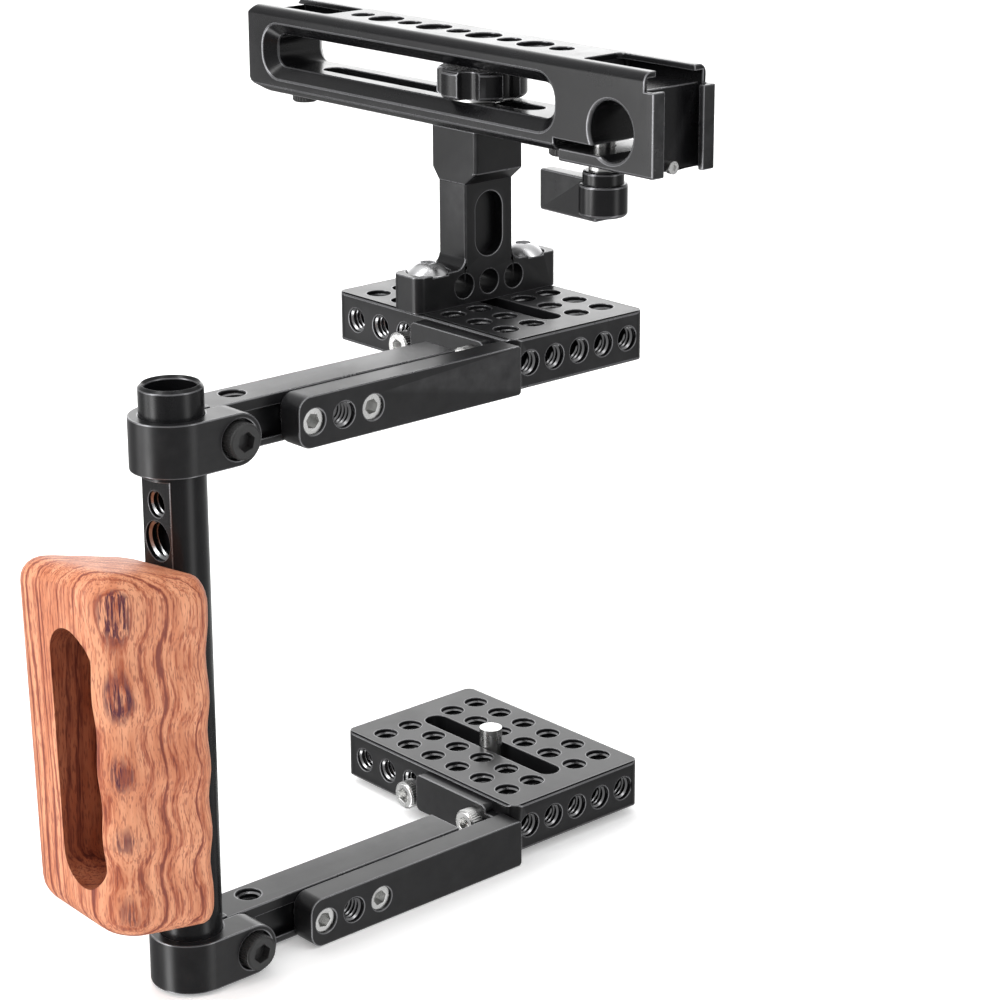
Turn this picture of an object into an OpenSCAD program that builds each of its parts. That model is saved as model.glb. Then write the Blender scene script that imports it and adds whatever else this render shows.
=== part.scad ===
// Adjustable camera cage: a lower and an upper cheese plate are carried by two split-collar arms on
// one side rod, with a wooden side grip and a sliding top handle that ends in a 15 mm rod clamp.
// Axes: +Z up, -Y towards the lens, +X away from the side rod. The origin is the centre of the
// side rod's lower end. Height of each part follows from the rod and the two collars.

/* [Side rod] */
// Diameter of the side rod
rod_d = 15; // [14:0.5:17]
// How far the rod stands out of the upper collar
rod_stickout = 7.2; // [4:0.1:20]
// Radius of the threaded socket in each end of the rod
rod_socket_r = 6; // [5:0.1:6.3]
// Depth of the threaded sockets
rod_socket_depth = 15; // [8:1:20]
// Distance from the rod's axis to its flat
rod_flat_x = 5.1; // [4.6:0.1:6]
// Distance between the underside of the upper collar and the upper end of the flat
flat_top_gap = 1.6; // [0.5:0.1:6]

/* [Arms] */
// Height of a collar and of its bar
collar_h = 12.6; // [11:0.1:15]
// Distance between the tops of the two collars
collar_spacing = 127.6; // [120:0.2:145]
// Outer diameter of a collar
collar_d = 20.1; // [18.8:0.1:23]
// Distance between a collar's top and the bar's top
bar_drop = 0.5; // [0:0.1:1]
// Width of the clamping slit beside the bar
slit_w = 0.9; // [0.6:0.1:1.4]
// Distance from the rod's axis to the bar's front face
bar_front = 1.1; // [0.8:0.1:2]
// Distance from the rod's axis to the end of the bar
bar_len = 83.9; // [76:0.1:86]
// Distance from the rod's axis to the clamp bolt
clamp_bolt_x = 11.4; // [11:0.1:12]
// Distance from the rod's axis to the accessory hole in the bar
bar_hole_x = 21; // [20:0.5:24]

/* [Side rails] */
// Distance from the rod's axis to the free end of the rails
rail_x = 29.6; // [27:0.1:32]
// Thickness of the rails
rail_t = 7.0; // [6:0.1:8]
// Height of the rails
rail_h = 12.6; // [12:0.1:14]
// Distance between a collar's top and the rail's top
rail_drop = 0.8; // [0:0.1:1.2]
// Gap between a bar and its rail
rail_gap = 0.3; // [0.2:0.05:0.5]
// Distance between the rail's three threaded holes
rail_pitch = 8.8; // [8:0.1:9.5]
// Depth of the dovetail rib behind the rail
rib_depth = 2.4; // [1.8:0.1:2.8]
// Thickness of the flange that is screwed to the plate
flange_t = 3; // [2.5:0.1:4]
// Width of the flange round its outer hole
flange_margin = 1.1; // [0.8:0.1:2]
// Height of the flange
flange_h = 10.4; // [9:0.1:11]

/* [Cheese plates] */
// Distance from the rod's axis to the plates' near side
plate_x = 99; // [96:0.5:108]
// Width of the plates
plate_w = 46.2; // [45:0.2:50]
// Thickness of the plates
plate_t = 13.1; // [12.4:0.1:15]
// Radius of the plates' upright corners
plate_corner_r = 3.4; // [1:0.2:4]
// Distance between a rail's front face and the plate's front face
plate_setback = 3; // [2:0.1:4]
// Distance between the upper collar's top and the upper plate's top
upper_plate_drop = 0.2; // [0:0.1:1]
// Height of the lower plate's top over the lower collar's top
lower_plate_rise = 1.8; // [1:0.1:2.5]
// Distance between neighbouring rows of holes
row_pitch = 10; // [9.5:0.1:10.5]
// Distance from the front face to the first row of holes
first_row = 9.9; // [9.6:0.1:10.5]
// Distance between the two columns on each side of the slot
column_pitch = 8.8; // [8.4:0.1:9]
// Distance between the inner columns
slot_column_gap = 15.6; // [15.4:0.1:16]
// Distance between the holes of the front face
front_pitch = 8.5; // [8.2:0.1:8.8]
// Distance between the holes of the side faces
side_pitch = 9.9; // [9.6:0.1:10]
// Distance from the front face to the first hole of the side faces
side_first = 11.9; // [11.4:0.1:12.2]
// Depth of the holes in the edge faces
edge_hole_depth = 5; // [4.4:0.1:5.1]
// Width of the long slot
plate_slot_w = 6.6; // [6.5:0.1:7]
// Width of the wider slot under it, for a screw's head
head_slot_w = 8.9; // [8.6:0.1:9]

/* [Camera screw] */
// Height of the camera screw over the lower plate
camera_screw_rise = 5; // [4:0.5:6]
// Thickness of the camera screw's head
camera_head_h = 3.2; // [2.5:0.1:4]

/* [Stem] */
// Height of the stem
stem_h = 45.8; // [42:0.1:60]
// Width of the stem's shaft
stem_w = 16.4; // [15:0.1:18]
// Thickness of the stem's shaft
stem_t = 10.4; // [8:0.1:11]
// Height of the stem's foot
foot_h = 9.6; // [9.2:0.1:11]
// Length of the stem's foot, across the plate
foot_len = 48.8; // [46:0.2:54]
// Thickness of the stem's foot
foot_t = 10.4; // [10:0.1:12]
// Height of the stem's head
head_h = 11; // [10:0.1:14]
// Step from the shaft to the head at the front
head_step_front = 4.2; // [3:0.1:6]
// Step from the shaft to the head at the back
head_step_back = 2.8; // [0.5:0.1:3]
// Width of the stem's pocket
stem_pocket_w = 9.2; // [7:0.1:10]
// Depth of the stem's pocket
stem_pocket_depth = 3.4; // [2:0.1:3.6]

/* [Top handle] */
// Length of the top handle
handle_len = 157.3; // [150:0.1:175]
// Width of the top handle
handle_w = 21; // [20.6:0.1:24]
// Height of the top handle along the grip
handle_h = 23.4; // [22.6:0.1:26]
// Extra depth of the clamp block under the handle
block_drop = 1.9; // [1.6:0.1:3]
// Distance from the handle's front end to the stem's thumb nut
handle_reach = 72.2; // [70:0.2:80]
// Height of the window's inner edge over the handle's underside
window_floor = 7.2; // [6:0.1:7.6]
// Height of the window between its inner edges
window_h = 8.9; // [8.6:0.1:9.5]
// Width of the bevel round the window
window_bevel = 3.2; // [2:0.1:3.6]
// Distance from the handle's front end to the window's inner edge
window_front = 36.9; // [36.5:0.2:40]
// Distance from the window's inner edge to the handle's back end
window_back = 9.4; // [8:0.2:14]
// Width of the slot in the window's floor
handle_slot_w = 6.6; // [6.4:0.1:7.4]
// Distance from the handle's front end to the slot's front end
slot_front = 49.8; // [49:0.2:54]
// Distance from the slot's back end to the handle's back end
slot_back = 21.8; // [20:0.2:28]
// Distance between the holes along the handle's top
top_pitch = 9.7; // [9.5:0.05:10.5]
// Distance from the handle's front end to the first of these holes
top_first = 42.4; // [40:0.2:46]

/* [Cold shoes] */
// Width of a cold shoe's channel
shoe_w = 18.6; // [18.2:0.1:18.8]
// Width of the opening between the lips
shoe_mouth = 13; // [12.5:0.1:14]
// Depth of a cold shoe
shoe_depth = 4.6; // [4:0.1:5]
// Thickness of the lips
lip_t = 1.6; // [1.4:0.1:2]
// Length of the shoe at the handle's front end
front_shoe_len = 28.5; // [24:0.5:30]
// Distance from the handle's front end to the front end of this shoe's lips
lip_setback = 3.1; // [1:0.1:4]
// Length of the shoe at the handle's back end
back_shoe_len = 30; // [22:0.5:33]

/* [Rod clamp] */
// Diameter of the rod that the clamp takes
clamp_rod_d = 15; // [14:0.5:16]
// Distance from the handle's front end to the clamp's axis
clamp_setback = 14.4; // [14.2:0.1:15]
// Height of the clamp's axis over the block's underside
clamp_axis_h = 9.6; // [9.4:0.1:10.5]
// Distance from the handle's front end to the end of the lower jaw
jaw_len = 32.5; // [32:0.1:33.4]
// Thickness of the lower jaw
jaw_t = 3.1; // [2.6:0.1:4]
// Height of the clamp's slit
jaw_slit = 2.2; // [1.5:0.1:2.8]
// Distance from the handle's front end to the clamp's bolt
jaw_bolt_setback = 27.4; // [27.2:0.1:28]

/* [Thumb nut and lever] */
// Diameter of the thumb nut in the window
nut_d = 23.4; // [18:0.2:24]
// Thickness of the thumb nut
nut_h = 7.3; // [5:0.1:7.4]
// Number of lobes round the thumb nut
nut_lobes = 6; // [5:1:8]
// Diameter of the lever's hub
hub_d = 12.2; // [10:0.1:14]
// Height of the lever's hub
hub_h = 8.3; // [6.6:0.1:10]
// Distance from the lever's axis to the tip of its wing
wing_len = 21.5; // [16:0.5:22]

/* [Wooden grip] */
// Height of the grip at its middle
grip_h = 85.8; // [78:0.2:88]
// Distance between the rod's lower end and the middle of the grip's lower end
grip_z = 25; // [22:0.2:27]
// Thickness of the grip at its upper end, away from the rod
grip_t = 31.6; // [28:0.2:36]
// How much thinner the grip is at its lower end
grip_taper = 2; // [0:0.1:3]
// Distance from the rod's axis to the grip's front at its upper end
grip_front = 22.9; // [20:0.1:26]
// Distance from the rod's axis to the grip's back
grip_back = 14.7; // [13:0.1:20]
// Depth of the finger grooves
groove_depth = 1.1; // [0.4:0.1:1.6]
// Height of the grip's pocket
pocket_h = 62.6; // [56:0.2:64]
// Width of the grip's pocket
pocket_w = 14.5; // [12:0.5:15]
// Depth of the grip's pocket
pocket_depth = 16; // [10:0.5:18]

/* [Fasteners and fits] */
// Radius of a 1/4 inch thread
quarter_r = 3.175; // [3.1:0.005:3.25]
// Radius of a 3/8 inch thread
three_eighths_r = 4.76; // [4.6:0.01:4.9]
// Radius of the clamp bolts' threads
m5_r = 2.5; // [2.4:0.1:2.7]
// Radius of the stud and of the clamp lever's bolt
m6_r = 2.95; // [2.8:0.05:3]
// Radial clearance of sliding and turning fits
running_fit = 0.05; // [0.02:0.01:0.09]
// Clearance between the dovetail and its groove
dovetail_fit = 0.2; // [0.15:0.01:0.25]

/* [Hidden] */
$fn = 64;
eps = 0.01;
black = [0.07, 0.07, 0.075];
bright = [0.72, 0.72, 0.74];
padauk = [0.62, 0.27, 0.12];

// Heights
lower_top = collar_h;
upper_top = lower_top + collar_spacing;
rod_len = upper_top + rod_stickout;
lower_plate_z = lower_top + lower_plate_rise - plate_t;
upper_plate_z = upper_top - upper_plate_drop - plate_t;
stem_z = upper_plate_z + plate_t;
handle_z = stem_z + stem_h;
handle_top = handle_z + handle_h;
block_z = handle_z - block_drop;

// Arms and rails
collar_r = collar_d / 2;
ear_r = collar_h / 2;
ear_back = -(bar_front + slit_w);
ear_front = -collar_r;
washer_t = 0.8;
washer_r = 4.6;
counterbore_r = 4.9;
counterbore_depth = 2.4;
cap_head_r = 4.25;
cap_head_h = 4.2;
clamp_bolt_len = 15;
rail_back = -(bar_front + rail_gap);
rail_front = rail_back - rail_t;
rail_mid = collar_h - rail_drop - rail_h / 2;
rail_hole_x = rail_x + 4.6;
rib_start = rail_x + 1.8;
rib_end = bar_len + 7;
rib_root = 3.4;
rib_tip = 4.1;
rail_end_r = 3.5;
set_screw_recess = 0.8;

// Cheese plates
plate_front = rail_front + plate_setback;
plate_mid_x = plate_x + plate_w / 2;
column_x = [-slot_column_gap / 2 - column_pitch, -slot_column_gap / 2,
    slot_column_gap / 2, slot_column_gap / 2 + column_pitch];
row_count = 6;
plate_d = 2 * first_row + (row_count - 1) * row_pitch;
front_first = 5.5;
front_count = 5;
side_count = 6;
slot_margin = 9;
head_slot_depth = 4.4;
camera_neck_r = 2.5;
plate_chamfer = 0.5;
flange_hole = 0;
spigot_hole = 2;
parked_hole = 3;
flange_len = side_hole_y(spigot_hole) + quarter_r + flange_margin - rail_back;
spigot_len = 3;
flange_neck_h = 6.4;
flange_neck_len = 4;
flange_corner = 1.6;
small_cap_r = 3.6;
small_cap_h = 4;
small_screw_r = 2;
side_screw_len = 3;
parked_r = 3.7;
parked_h = 4;
parked_thread_r = 2;
parked_len = 2.4;
parked_y = side_hole_y(parked_hole) - 1.55;
parked_low = 2.3;

// Stem and handle
stem_row = 3;
foot_mid_y = plate_row_y(stem_row);
foot_front = foot_mid_y - foot_t / 2;
shaft_front = foot_front;
head_front = shaft_front - head_step_front;
head_back = shaft_front + stem_t + head_step_back;
stud_inset = 6.6;
stud_y = head_front + stud_inset;
head_slope = 3.2;
head_w = stem_w;
head_corner_r = 1.1;
stem_corner_r = 0.6;
foot_hole_pitch = 8.6;
foot_hole_r = 3.2;
foot_hole_z = 5.1;
foot_corner_r = 2.5;
button_r = 5.4;
button_h = 3.3;
button_seat_r = button_r + 0.35;
button_seat_depth = 0.6;
stem_screw_depth = 9;
stud_depth = 11;
handle_x = plate_mid_x;
handle_front = stud_y - handle_reach;
window_corner = 3.6;
edge_round = 2.4;
edge_chamfer = 1.8;
block_chamfer = 0.3;
rear_cut_len = 6;
rear_cut_h = 2.8;
rear_top_cut = 2;
top_count = 9;
shoe_round = 1.5;
stop_head_r = 3.4;
stop_head_h = 3.3;
stop_front = 42;
stop_back = 11.4;
jaw_bolt_y = handle_front + jaw_bolt_setback;
clamp_y = handle_front + clamp_setback;
clamp_z = block_z + clamp_axis_h;
jaw_slit_z = block_z + jaw_t;
jaw_bore_h = 12;
jaw_bolt_len = 9;
shoe_stop_r = 1.6;
shoe_stop_h = 1.4;
shoe_stop_z = 1.1;
jaw_mouth = 1.8;
lever_gap = 0.3;
bush_r = 3.3;
bush_h = 2.6;
hub_top_r = 5.2;
hub_top_h = 3.2;
wing_t = 5.4;
wing_h = 10.6;
wing_drop = 1.5;
wing_corner = 1.6;
hub_z = block_z - lever_gap - bush_h - hub_top_h - hub_h;
slot_washer_t = 0.8;
slot_washer_r = 8.4;
nut_z = handle_z + window_floor + slot_washer_t + 0.1;

// Grip
grip_inner = -rod_flat_x;
grip_outer = grip_inner - grip_t;
grip_mid = [-20, -3];
grip_front_taper = 1.8;
grip_corners = [8.7, 8.8, 9.4, 6.3];
grip_end_r = 6.2;
grip_end_steps = 6;
grip_rings = 30;
grip_arc = 9;
grip_inner_share = 0.45;
grip_top_slope = [-0.238, -0.116];
grip_top_crown = 0.003;
grip_top_fall = 0.0055;
grip_bottom_slope = [-0.162, 0.04];
grip_crests = [[0.098, 0], [0.283, 1], [0.468, 2], [0.668, 3], [0.894, 4]];
pocket_mid_y = -9.1;
pocket_z = grip_z + (grip_h - pocket_h) / 2 + 1.2;
grip_screw_inset = 18;
grip_screw_z = [grip_z + grip_screw_inset, grip_z + grip_h - grip_screw_inset];
grip_head_x = 0.8;
grip_thread = 11;
rod_hole_quarter = 7.8;
rod_hole_large = 16.6;
rod_hole_depth = 4.4;

// ---------------------------------------------------------------- shapes

// Rectangle with round corners, centred on the origin
module round_rect(w, h, r) {
    square([w - 2 * r, h], center = true);
    square([w, h - 2 * r], center = true);
    for (x = [-1, 1], y = [-1, 1])
        translate([x * (w / 2 - r), y * (h / 2 - r)]) circle(r);
}

// Slot with round ends along Y, from y0 to y1
module stadium(w, y0, y1) {
    translate([-w / 2, y0 + w / 2]) square([w, y1 - y0 - w]);
    for (y = [y0 + w / 2, y1 - w / 2]) translate([0, y]) circle(w / 2);
}

// Extrusion along +X of an outline drawn in (Y, Z)
module along_x(x0, len) {
    translate([x0, 0, 0]) rotate([90, 0, 90]) linear_extrude(len) children();
}

// Extrusion along +Y of an outline drawn in (X, Z)
module along_y(y0, len) {
    translate([0, y0 + len, 0]) rotate([90, 0, 0]) linear_extrude(len) children();
}

module cyl_x(x0, len, r) {
    translate([x0, 0, 0]) rotate([0, 90, 0]) cylinder(h = len, r = r);
}

module cyl_y(y0, len, r) {
    translate([0, y0 + len, 0]) rotate([90, 0, 0]) cylinder(h = len, r = r);
}

// Rectangle with its four corners cut at 45 degrees, from [0, 0] to [w, h]
module chamfered(w, h, c) {
    polygon([[c, 0], [w - c, 0], [w, c], [w, h - c], [w - c, h], [c, h], [0, h - c], [0, c]]);
}

// Socket-head screw along -Z: the head's top is at z = 0 and the thread points down
module socket_screw(head_r, head_h, thread_r, len) {
    difference() {
        rotate_extrude() polygon([[0, 0], [head_r - 0.4, 0], [head_r, -0.4], [head_r, -head_h],
            [thread_r, -head_h], [thread_r, -head_h - len + 0.5], [thread_r - 0.5, -head_h - len],
            [0, -head_h - len]]);
        translate([0, 0, -head_h * 0.55]) cylinder(h = head_h, r = head_r * 0.56, $fn = 6);
    }
}

// Button-head screw along -Z, its dome standing on z = 0
module button_screw(head_r, head_h, thread_r, len) {
    dome_r = (head_r * head_r + head_h * head_h) / (2 * head_h);
    difference() {
        union() {
            intersection() {
                translate([0, 0, head_h - dome_r]) sphere(dome_r);
                cylinder(h = head_h, r = head_r);
            }
            translate([0, 0, -len]) cylinder(h = len + eps, r = thread_r);
        }
        translate([0, 0, head_h * 0.35]) cylinder(h = head_h, r = head_r * 0.42, $fn = 6);
    }
}

// Headless screw along +Y with a hexagon socket in its front end
module set_screw(y0, len, r) {
    difference() {
        cyl_y(y0, len, r);
        translate([0, y0 + r, 0]) rotate([90, 0, 0]) cylinder(h = r + eps, r = r * 0.62, $fn = 6);
    }
}

// ---------------------------------------------------------------- arms

// Split collar and bar, with the collar's underside at z = 0
module arm() {
    difference() {
        union() {
            cylinder(h = collar_h, r = collar_r);
            translate([0, -bar_front, 0])
                cube([bar_len, bar_front + collar_r, collar_h - bar_drop]);
            intersection() {
                translate([0, ear_front, 0])
                    cube([clamp_bolt_x + ear_r, ear_back - ear_front, collar_h]);
                union() {
                    translate([0, ear_front, 0])
                        cube([clamp_bolt_x, ear_back - ear_front, collar_h]);
                    translate([clamp_bolt_x, 0, ear_r])
                        cyl_y(ear_front, ear_back - ear_front, ear_r);
                }
            }
        }
        translate([0, 0, -eps]) cylinder(h = collar_h + 2 * eps, r = rod_d / 2 + running_fit);
        translate([0, ear_back, -eps])
            cube([clamp_bolt_x + ear_r + eps, slit_w, collar_h + 2 * eps]);
        translate([clamp_bolt_x, 0, ear_r]) {
            cyl_y(ear_front - eps, counterbore_depth + eps, counterbore_r);
            cyl_y(ear_front, -ear_front - bar_front + eps, m5_r + 0.2);
            cyl_y(-bar_front - eps, collar_r + bar_front - 1, m5_r);
        }
        translate([bar_hole_x, (collar_r - bar_front) / 2 + 1, -eps])
            cylinder(h = collar_h + 2 * eps, r = quarter_r);
        bar_groove();
    }
}

// Dovetail groove along the bar's front face
module bar_groove() {
    wide = rib_tip + dovetail_fit;
    narrow = rib_root + dovetail_fit;
    depth = rib_depth + dovetail_fit - rail_gap;
    start = clamp_bolt_x + ear_r + 0.6;
    along_x(start, bar_len - start + eps) translate([-bar_front, rail_mid])
        polygon([[-eps, -narrow], [depth, -wide], [depth, wide], [-eps, narrow]]);
}

module clamp_bolt_at() {
    translate([clamp_bolt_x, ear_front + counterbore_depth - washer_t - cap_head_h, ear_r])
        rotate([90, 0, 0]) rotate([0, 0, 15])
            socket_screw(cap_head_r, cap_head_h, m5_r - 0.02, clamp_bolt_len);
}

module clamp_washer_at() {
    difference() {
        translate([clamp_bolt_x, 0, ear_r])
            cyl_y(ear_front + counterbore_depth - washer_t, washer_t, washer_r);
        translate([clamp_bolt_x, 0, ear_r])
            cyl_y(ear_front, counterbore_depth + 1, m5_r + 0.1);
    }
}

// Rail with its three holes, dovetail rib and flange, in the same place as the arm.
// flange_z is the height of the plate's side holes, where the flange is screwed on.
module rail(flange_z) {
    mid_z = rail_mid;
    difference() {
        union() {
            along_y(rail_front, rail_t) rail_outline();
            along_x(rib_start, rib_end - rib_start) translate([rail_back, mid_z])
                polygon([[-eps, -rib_root], [rib_depth, -rib_tip], [rib_depth, rib_tip],
                    [-eps, rib_root]]);
            along_x(plate_x - flange_t, flange_t) translate([rail_back, flange_z])
                flange_outline();
            translate([0, side_hole_y(spigot_hole), flange_z])
                cyl_x(plate_x - eps, spigot_len, quarter_r - running_fit);
        }
        for (i = [0:2])
            translate([rail_hole_x + i * rail_pitch, 0, mid_z])
                cyl_y(rail_front - eps, rail_t + rib_depth + 2 * eps, quarter_r);
        translate([0, side_hole_y(flange_hole), flange_z])
            cyl_x(plate_x - flange_t - eps, flange_t + 2 * eps, quarter_r + 0.1);
    }
}

// Outline of the rail from the front: large radii at the free end, small ones at the plate
module rail_outline() {
    len = plate_x - rail_x;
    end_r = 1;
    z0 = rail_mid - rail_h / 2;
    translate([rail_x, z0]) {
        translate([rail_end_r, 0]) square([len - rail_end_r - end_r, rail_h]);
        translate([0, rail_end_r]) square([len, rail_h - 2 * rail_end_r]);
        translate([len / 2, end_r]) square([len / 2, rail_h - 2 * end_r]);
        for (z = [rail_end_r, rail_h - rail_end_r]) translate([rail_end_r, z]) circle(rail_end_r);
        for (z = [end_r, rail_h - end_r]) translate([len - end_r, z]) circle(end_r);
    }
}

// Flange in (Y, Z), centred on the plate's side holes, with a lower neck at the rail
module flange_outline() {
    len = flange_len - flange_neck_len;
    translate([flange_neck_len + len / 2, 0]) round_rect(len, flange_h, flange_corner);
    translate([-eps, -flange_neck_h / 2])
        square([flange_neck_len + flange_corner + eps, flange_neck_h]);
}

module rail_screws_at() {
    for (i = [0, 2])
        translate([rail_hole_x + i * rail_pitch, 0, rail_mid]) rotate([0, 12 + 20 * i, 0])
            set_screw(rail_front + set_screw_recess,
                rail_t + rail_gap + rib_depth - set_screw_recess - 0.5, quarter_r - 0.02);
}

// ---------------------------------------------------------------- cheese plates

// Holes of the near side, counted from the front; the far side is the near side turned round
function side_hole_y(i) = plate_front + side_first + i * side_pitch;
function far_hole_y(i) = plate_front + plate_d - side_first - i * side_pitch;
function front_hole_x(i) = plate_x + front_first + i * front_pitch;
function rear_hole_x(i) = plate_x + plate_w - front_first - i * front_pitch;
function plate_row_y(i) = plate_front + first_row + i * row_pitch;

// Plate with its underside at z = 0
module cheese_plate() {
    mid_z = plate_t / 2;
    difference() {
        intersection() {
            translate([plate_mid_x, plate_front + plate_d / 2, 0])
                linear_extrude(plate_t) round_rect(plate_w, plate_d, plate_corner_r);
            along_y(plate_front, plate_d) translate([plate_x, 0])
                chamfered(plate_w, plate_t, plate_chamfer);
            along_x(plate_x, plate_w) translate([plate_front, 0])
                chamfered(plate_d, plate_t, plate_chamfer);
        }
        for (x = column_x, i = [0:row_count - 1])
            translate([plate_mid_x + x, plate_row_y(i), -eps])
                cylinder(h = plate_t + 2 * eps, r = quarter_r);
        translate([plate_mid_x, plate_front, -eps]) linear_extrude(plate_t + 2 * eps)
            stadium(plate_slot_w, slot_margin, plate_d - slot_margin);
        translate([plate_mid_x, plate_front, -eps]) linear_extrude(head_slot_depth)
            stadium(head_slot_w, slot_margin - 1.2, plate_d - slot_margin + 1.2);
        for (i = [0:front_count - 1]) {
            translate([front_hole_x(i), 0, mid_z])
                cyl_y(plate_front - eps, edge_hole_depth + eps, quarter_r);
            translate([rear_hole_x(i), 0, mid_z])
                cyl_y(plate_front + plate_d - edge_hole_depth, edge_hole_depth + eps, quarter_r);
        }
        translate([0, parked_y, mid_z - parked_low])
            cyl_x(plate_x - eps, parked_len + 0.4, parked_thread_r);
        for (i = [0:side_count - 1]) {
            translate([0, side_hole_y(i), mid_z])
                cyl_x(plate_x - eps, edge_hole_depth + eps, quarter_r);
            translate([0, far_hole_y(i), mid_z])
                cyl_x(plate_x + plate_w - edge_hole_depth, edge_hole_depth + eps, quarter_r);
        }
    }
}

// Small cap screw under the free side holes and the screw that holds the rail's flange
module side_screws_at(mid_z) {
    translate([plate_x - parked_h, parked_y, mid_z - parked_low]) rotate([0, -90, 0])
        rotate([0, 0, 10]) socket_screw(parked_r, parked_h, parked_thread_r - 0.02, parked_len);
    translate([plate_x - flange_t - small_cap_h, side_hole_y(flange_hole), mid_z])
        rotate([0, -90, 0])
            socket_screw(small_cap_r, small_cap_h, quarter_r - 0.02, flange_t + side_screw_len);
}

// ---------------------------------------------------------------- sub-parts

module lower_plate() { color(black) translate([0, 0, lower_plate_z]) cheese_plate(); }
module upper_plate() { color(black) translate([0, 0, upper_plate_z]) cheese_plate(); }
module lower_rail() { color(black) rail(lower_plate_z + plate_t / 2); }

module upper_rail() {
    color(black) translate([0, 0, collar_spacing])
        rail(upper_plate_z + plate_t / 2 - collar_spacing);
}

module lower_rail_screws() { color(bright) rail_screws_at(); }
module upper_rail_screws() { color(bright) translate([0, 0, collar_spacing]) rail_screws_at(); }
module lower_arm() { color(black) arm(); }
module upper_arm() { color(black) translate([0, 0, collar_spacing]) arm(); }
module lower_clamp_bolt() { color(black) clamp_bolt_at(); }
module upper_clamp_bolt() { color(black) translate([0, 0, collar_spacing]) clamp_bolt_at(); }
module lower_clamp_washer() { color(black) clamp_washer_at(); }
module upper_clamp_washer() { color(black) translate([0, 0, collar_spacing]) clamp_washer_at(); }

module lower_side_screws() {
    color(bright) side_screws_at(lower_plate_z + plate_t / 2);
}

module upper_side_screws() {
    color(bright) side_screws_at(upper_plate_z + plate_t / 2);
}

// Low-head screw that holds the camera on the lower plate
module camera_screw() {
    head_r = head_slot_w / 2 - 0.25;
    color(bright) translate([plate_mid_x, plate_front + plate_d / 2, lower_plate_z])
        difference() {
            union() {
                translate([0, 0, head_slot_depth - eps - camera_head_h])
                    cylinder(h = camera_head_h, r = head_r);
                translate([0, 0, head_slot_depth - camera_head_h])
                    cylinder(h = plate_t - head_slot_depth + camera_head_h + eps, r = camera_neck_r);
                translate([0, 0, plate_t]) cylinder(h = camera_screw_rise, r = quarter_r - 0.1);
            }
            translate([-head_r, -0.6, 0])
                cube([2 * head_r, 1.2, head_slot_depth - camera_head_h + 1.2]);
        }
}

module side_rod() {
    r = rod_d / 2;
    chamfer = 0.8;
    mouth = 0.75;
    flat_z0 = grip_z - 5;
    flat_z1 = upper_top - collar_h - flat_top_gap;
    color(black) difference() {
        rotate_extrude() polygon([[0, rod_socket_depth], [rod_socket_r, rod_socket_depth],
            [rod_socket_r, 0], [r - chamfer, 0], [r, chamfer],
            [r, rod_len - chamfer], [r - chamfer, rod_len], [rod_socket_r + mouth, rod_len],
            [rod_socket_r, rod_len - mouth], [rod_socket_r, rod_len - rod_socket_depth],
            [0, rod_len - rod_socket_depth]]);
        translate([-rod_d, -rod_d, flat_z0]) cube([rod_d - rod_flat_x, 2 * rod_d, flat_z1 - flat_z0]);
        translate([0, 0, upper_top - collar_h - rod_hole_quarter])
            cyl_x(-rod_flat_x - eps, rod_hole_depth, quarter_r);
        translate([0, 0, upper_top - collar_h - rod_hole_large])
            cyl_x(-rod_flat_x - eps, rod_hole_depth, three_eighths_r);
        for (z = grip_screw_z) translate([0, 0, z]) {
            cyl_x(-r, rod_d, m5_r + 0.2);
            cyl_x(grip_head_x, r, cap_head_r + 0.25);
        }
    }
}

// Corner of a ring: an arc from angle a0 to a0 + 90 about [x, y]
function arc(x, y, r, a0) =
    [for (i = [0:grip_arc - 1]) let (a = a0 + 90 * i / (grip_arc - 1)) [x + r * cos(a), y + r * sin(a)]];

// Heights of the grip's sloping lower and upper surfaces at the point p
function grip_bottom_at(p) = grip_z + grip_bottom_slope * (p - grip_mid);
function grip_top_at(p) = let (d = p - grip_mid)
    grip_z + grip_h + grip_top_slope * d - grip_top_crown * pow(d[1], 2)
        - grip_top_fall * pow(max(0, d[0]), 2);

// Finger grooves between the crests, at the share t of the grip's height
function grip_wave(t) = groove_depth * (0.5 - 0.5 * cos(360 * lookup(t, grip_crests)));

// Ring at the share t of the height, drawn in by s and scaled by k about its centre
function grip_ring(t, s, k) = let (
    x0 = grip_outer + grip_taper * (1 - t) + s, x1 = grip_inner - s * grip_inner_share,
    y0 = -grip_front + grip_front_taper * (1 - t) + s + grip_wave(t), y1 = grip_back - s,
    r = [for (c = grip_corners) max(c - s, 0.4)], mid = [(x0 + x1) / 2, (y0 + y1) / 2],
    outline = concat(arc(x1 - r[0], y1 - r[0], r[0], 0), arc(x0 + r[1], y1 - r[1], r[1], 90),
        arc(x0 + r[2], y0 + r[2], r[2], 180), arc(x1 - r[3], y0 + r[3], r[3], 270)))
    [for (q = outline) let (p = mid + k * (q - mid))
        [p[0], p[1], grip_bottom_at(p) * (1 - t) + grip_top_at(p) * t]];

// Rings of one rounded end as [distance from the end, how far drawn in, scale], the end first
function grip_end() = concat([[0, grip_end_r, 0.12], [0, grip_end_r, 0.35], [0, grip_end_r, 0.7]],
    [for (i = [0:grip_end_steps]) let (a = 90 * i / grip_end_steps)
        [grip_end_r * (1 - cos(a)), grip_end_r * (1 - sin(a)), 1]]);

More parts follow.
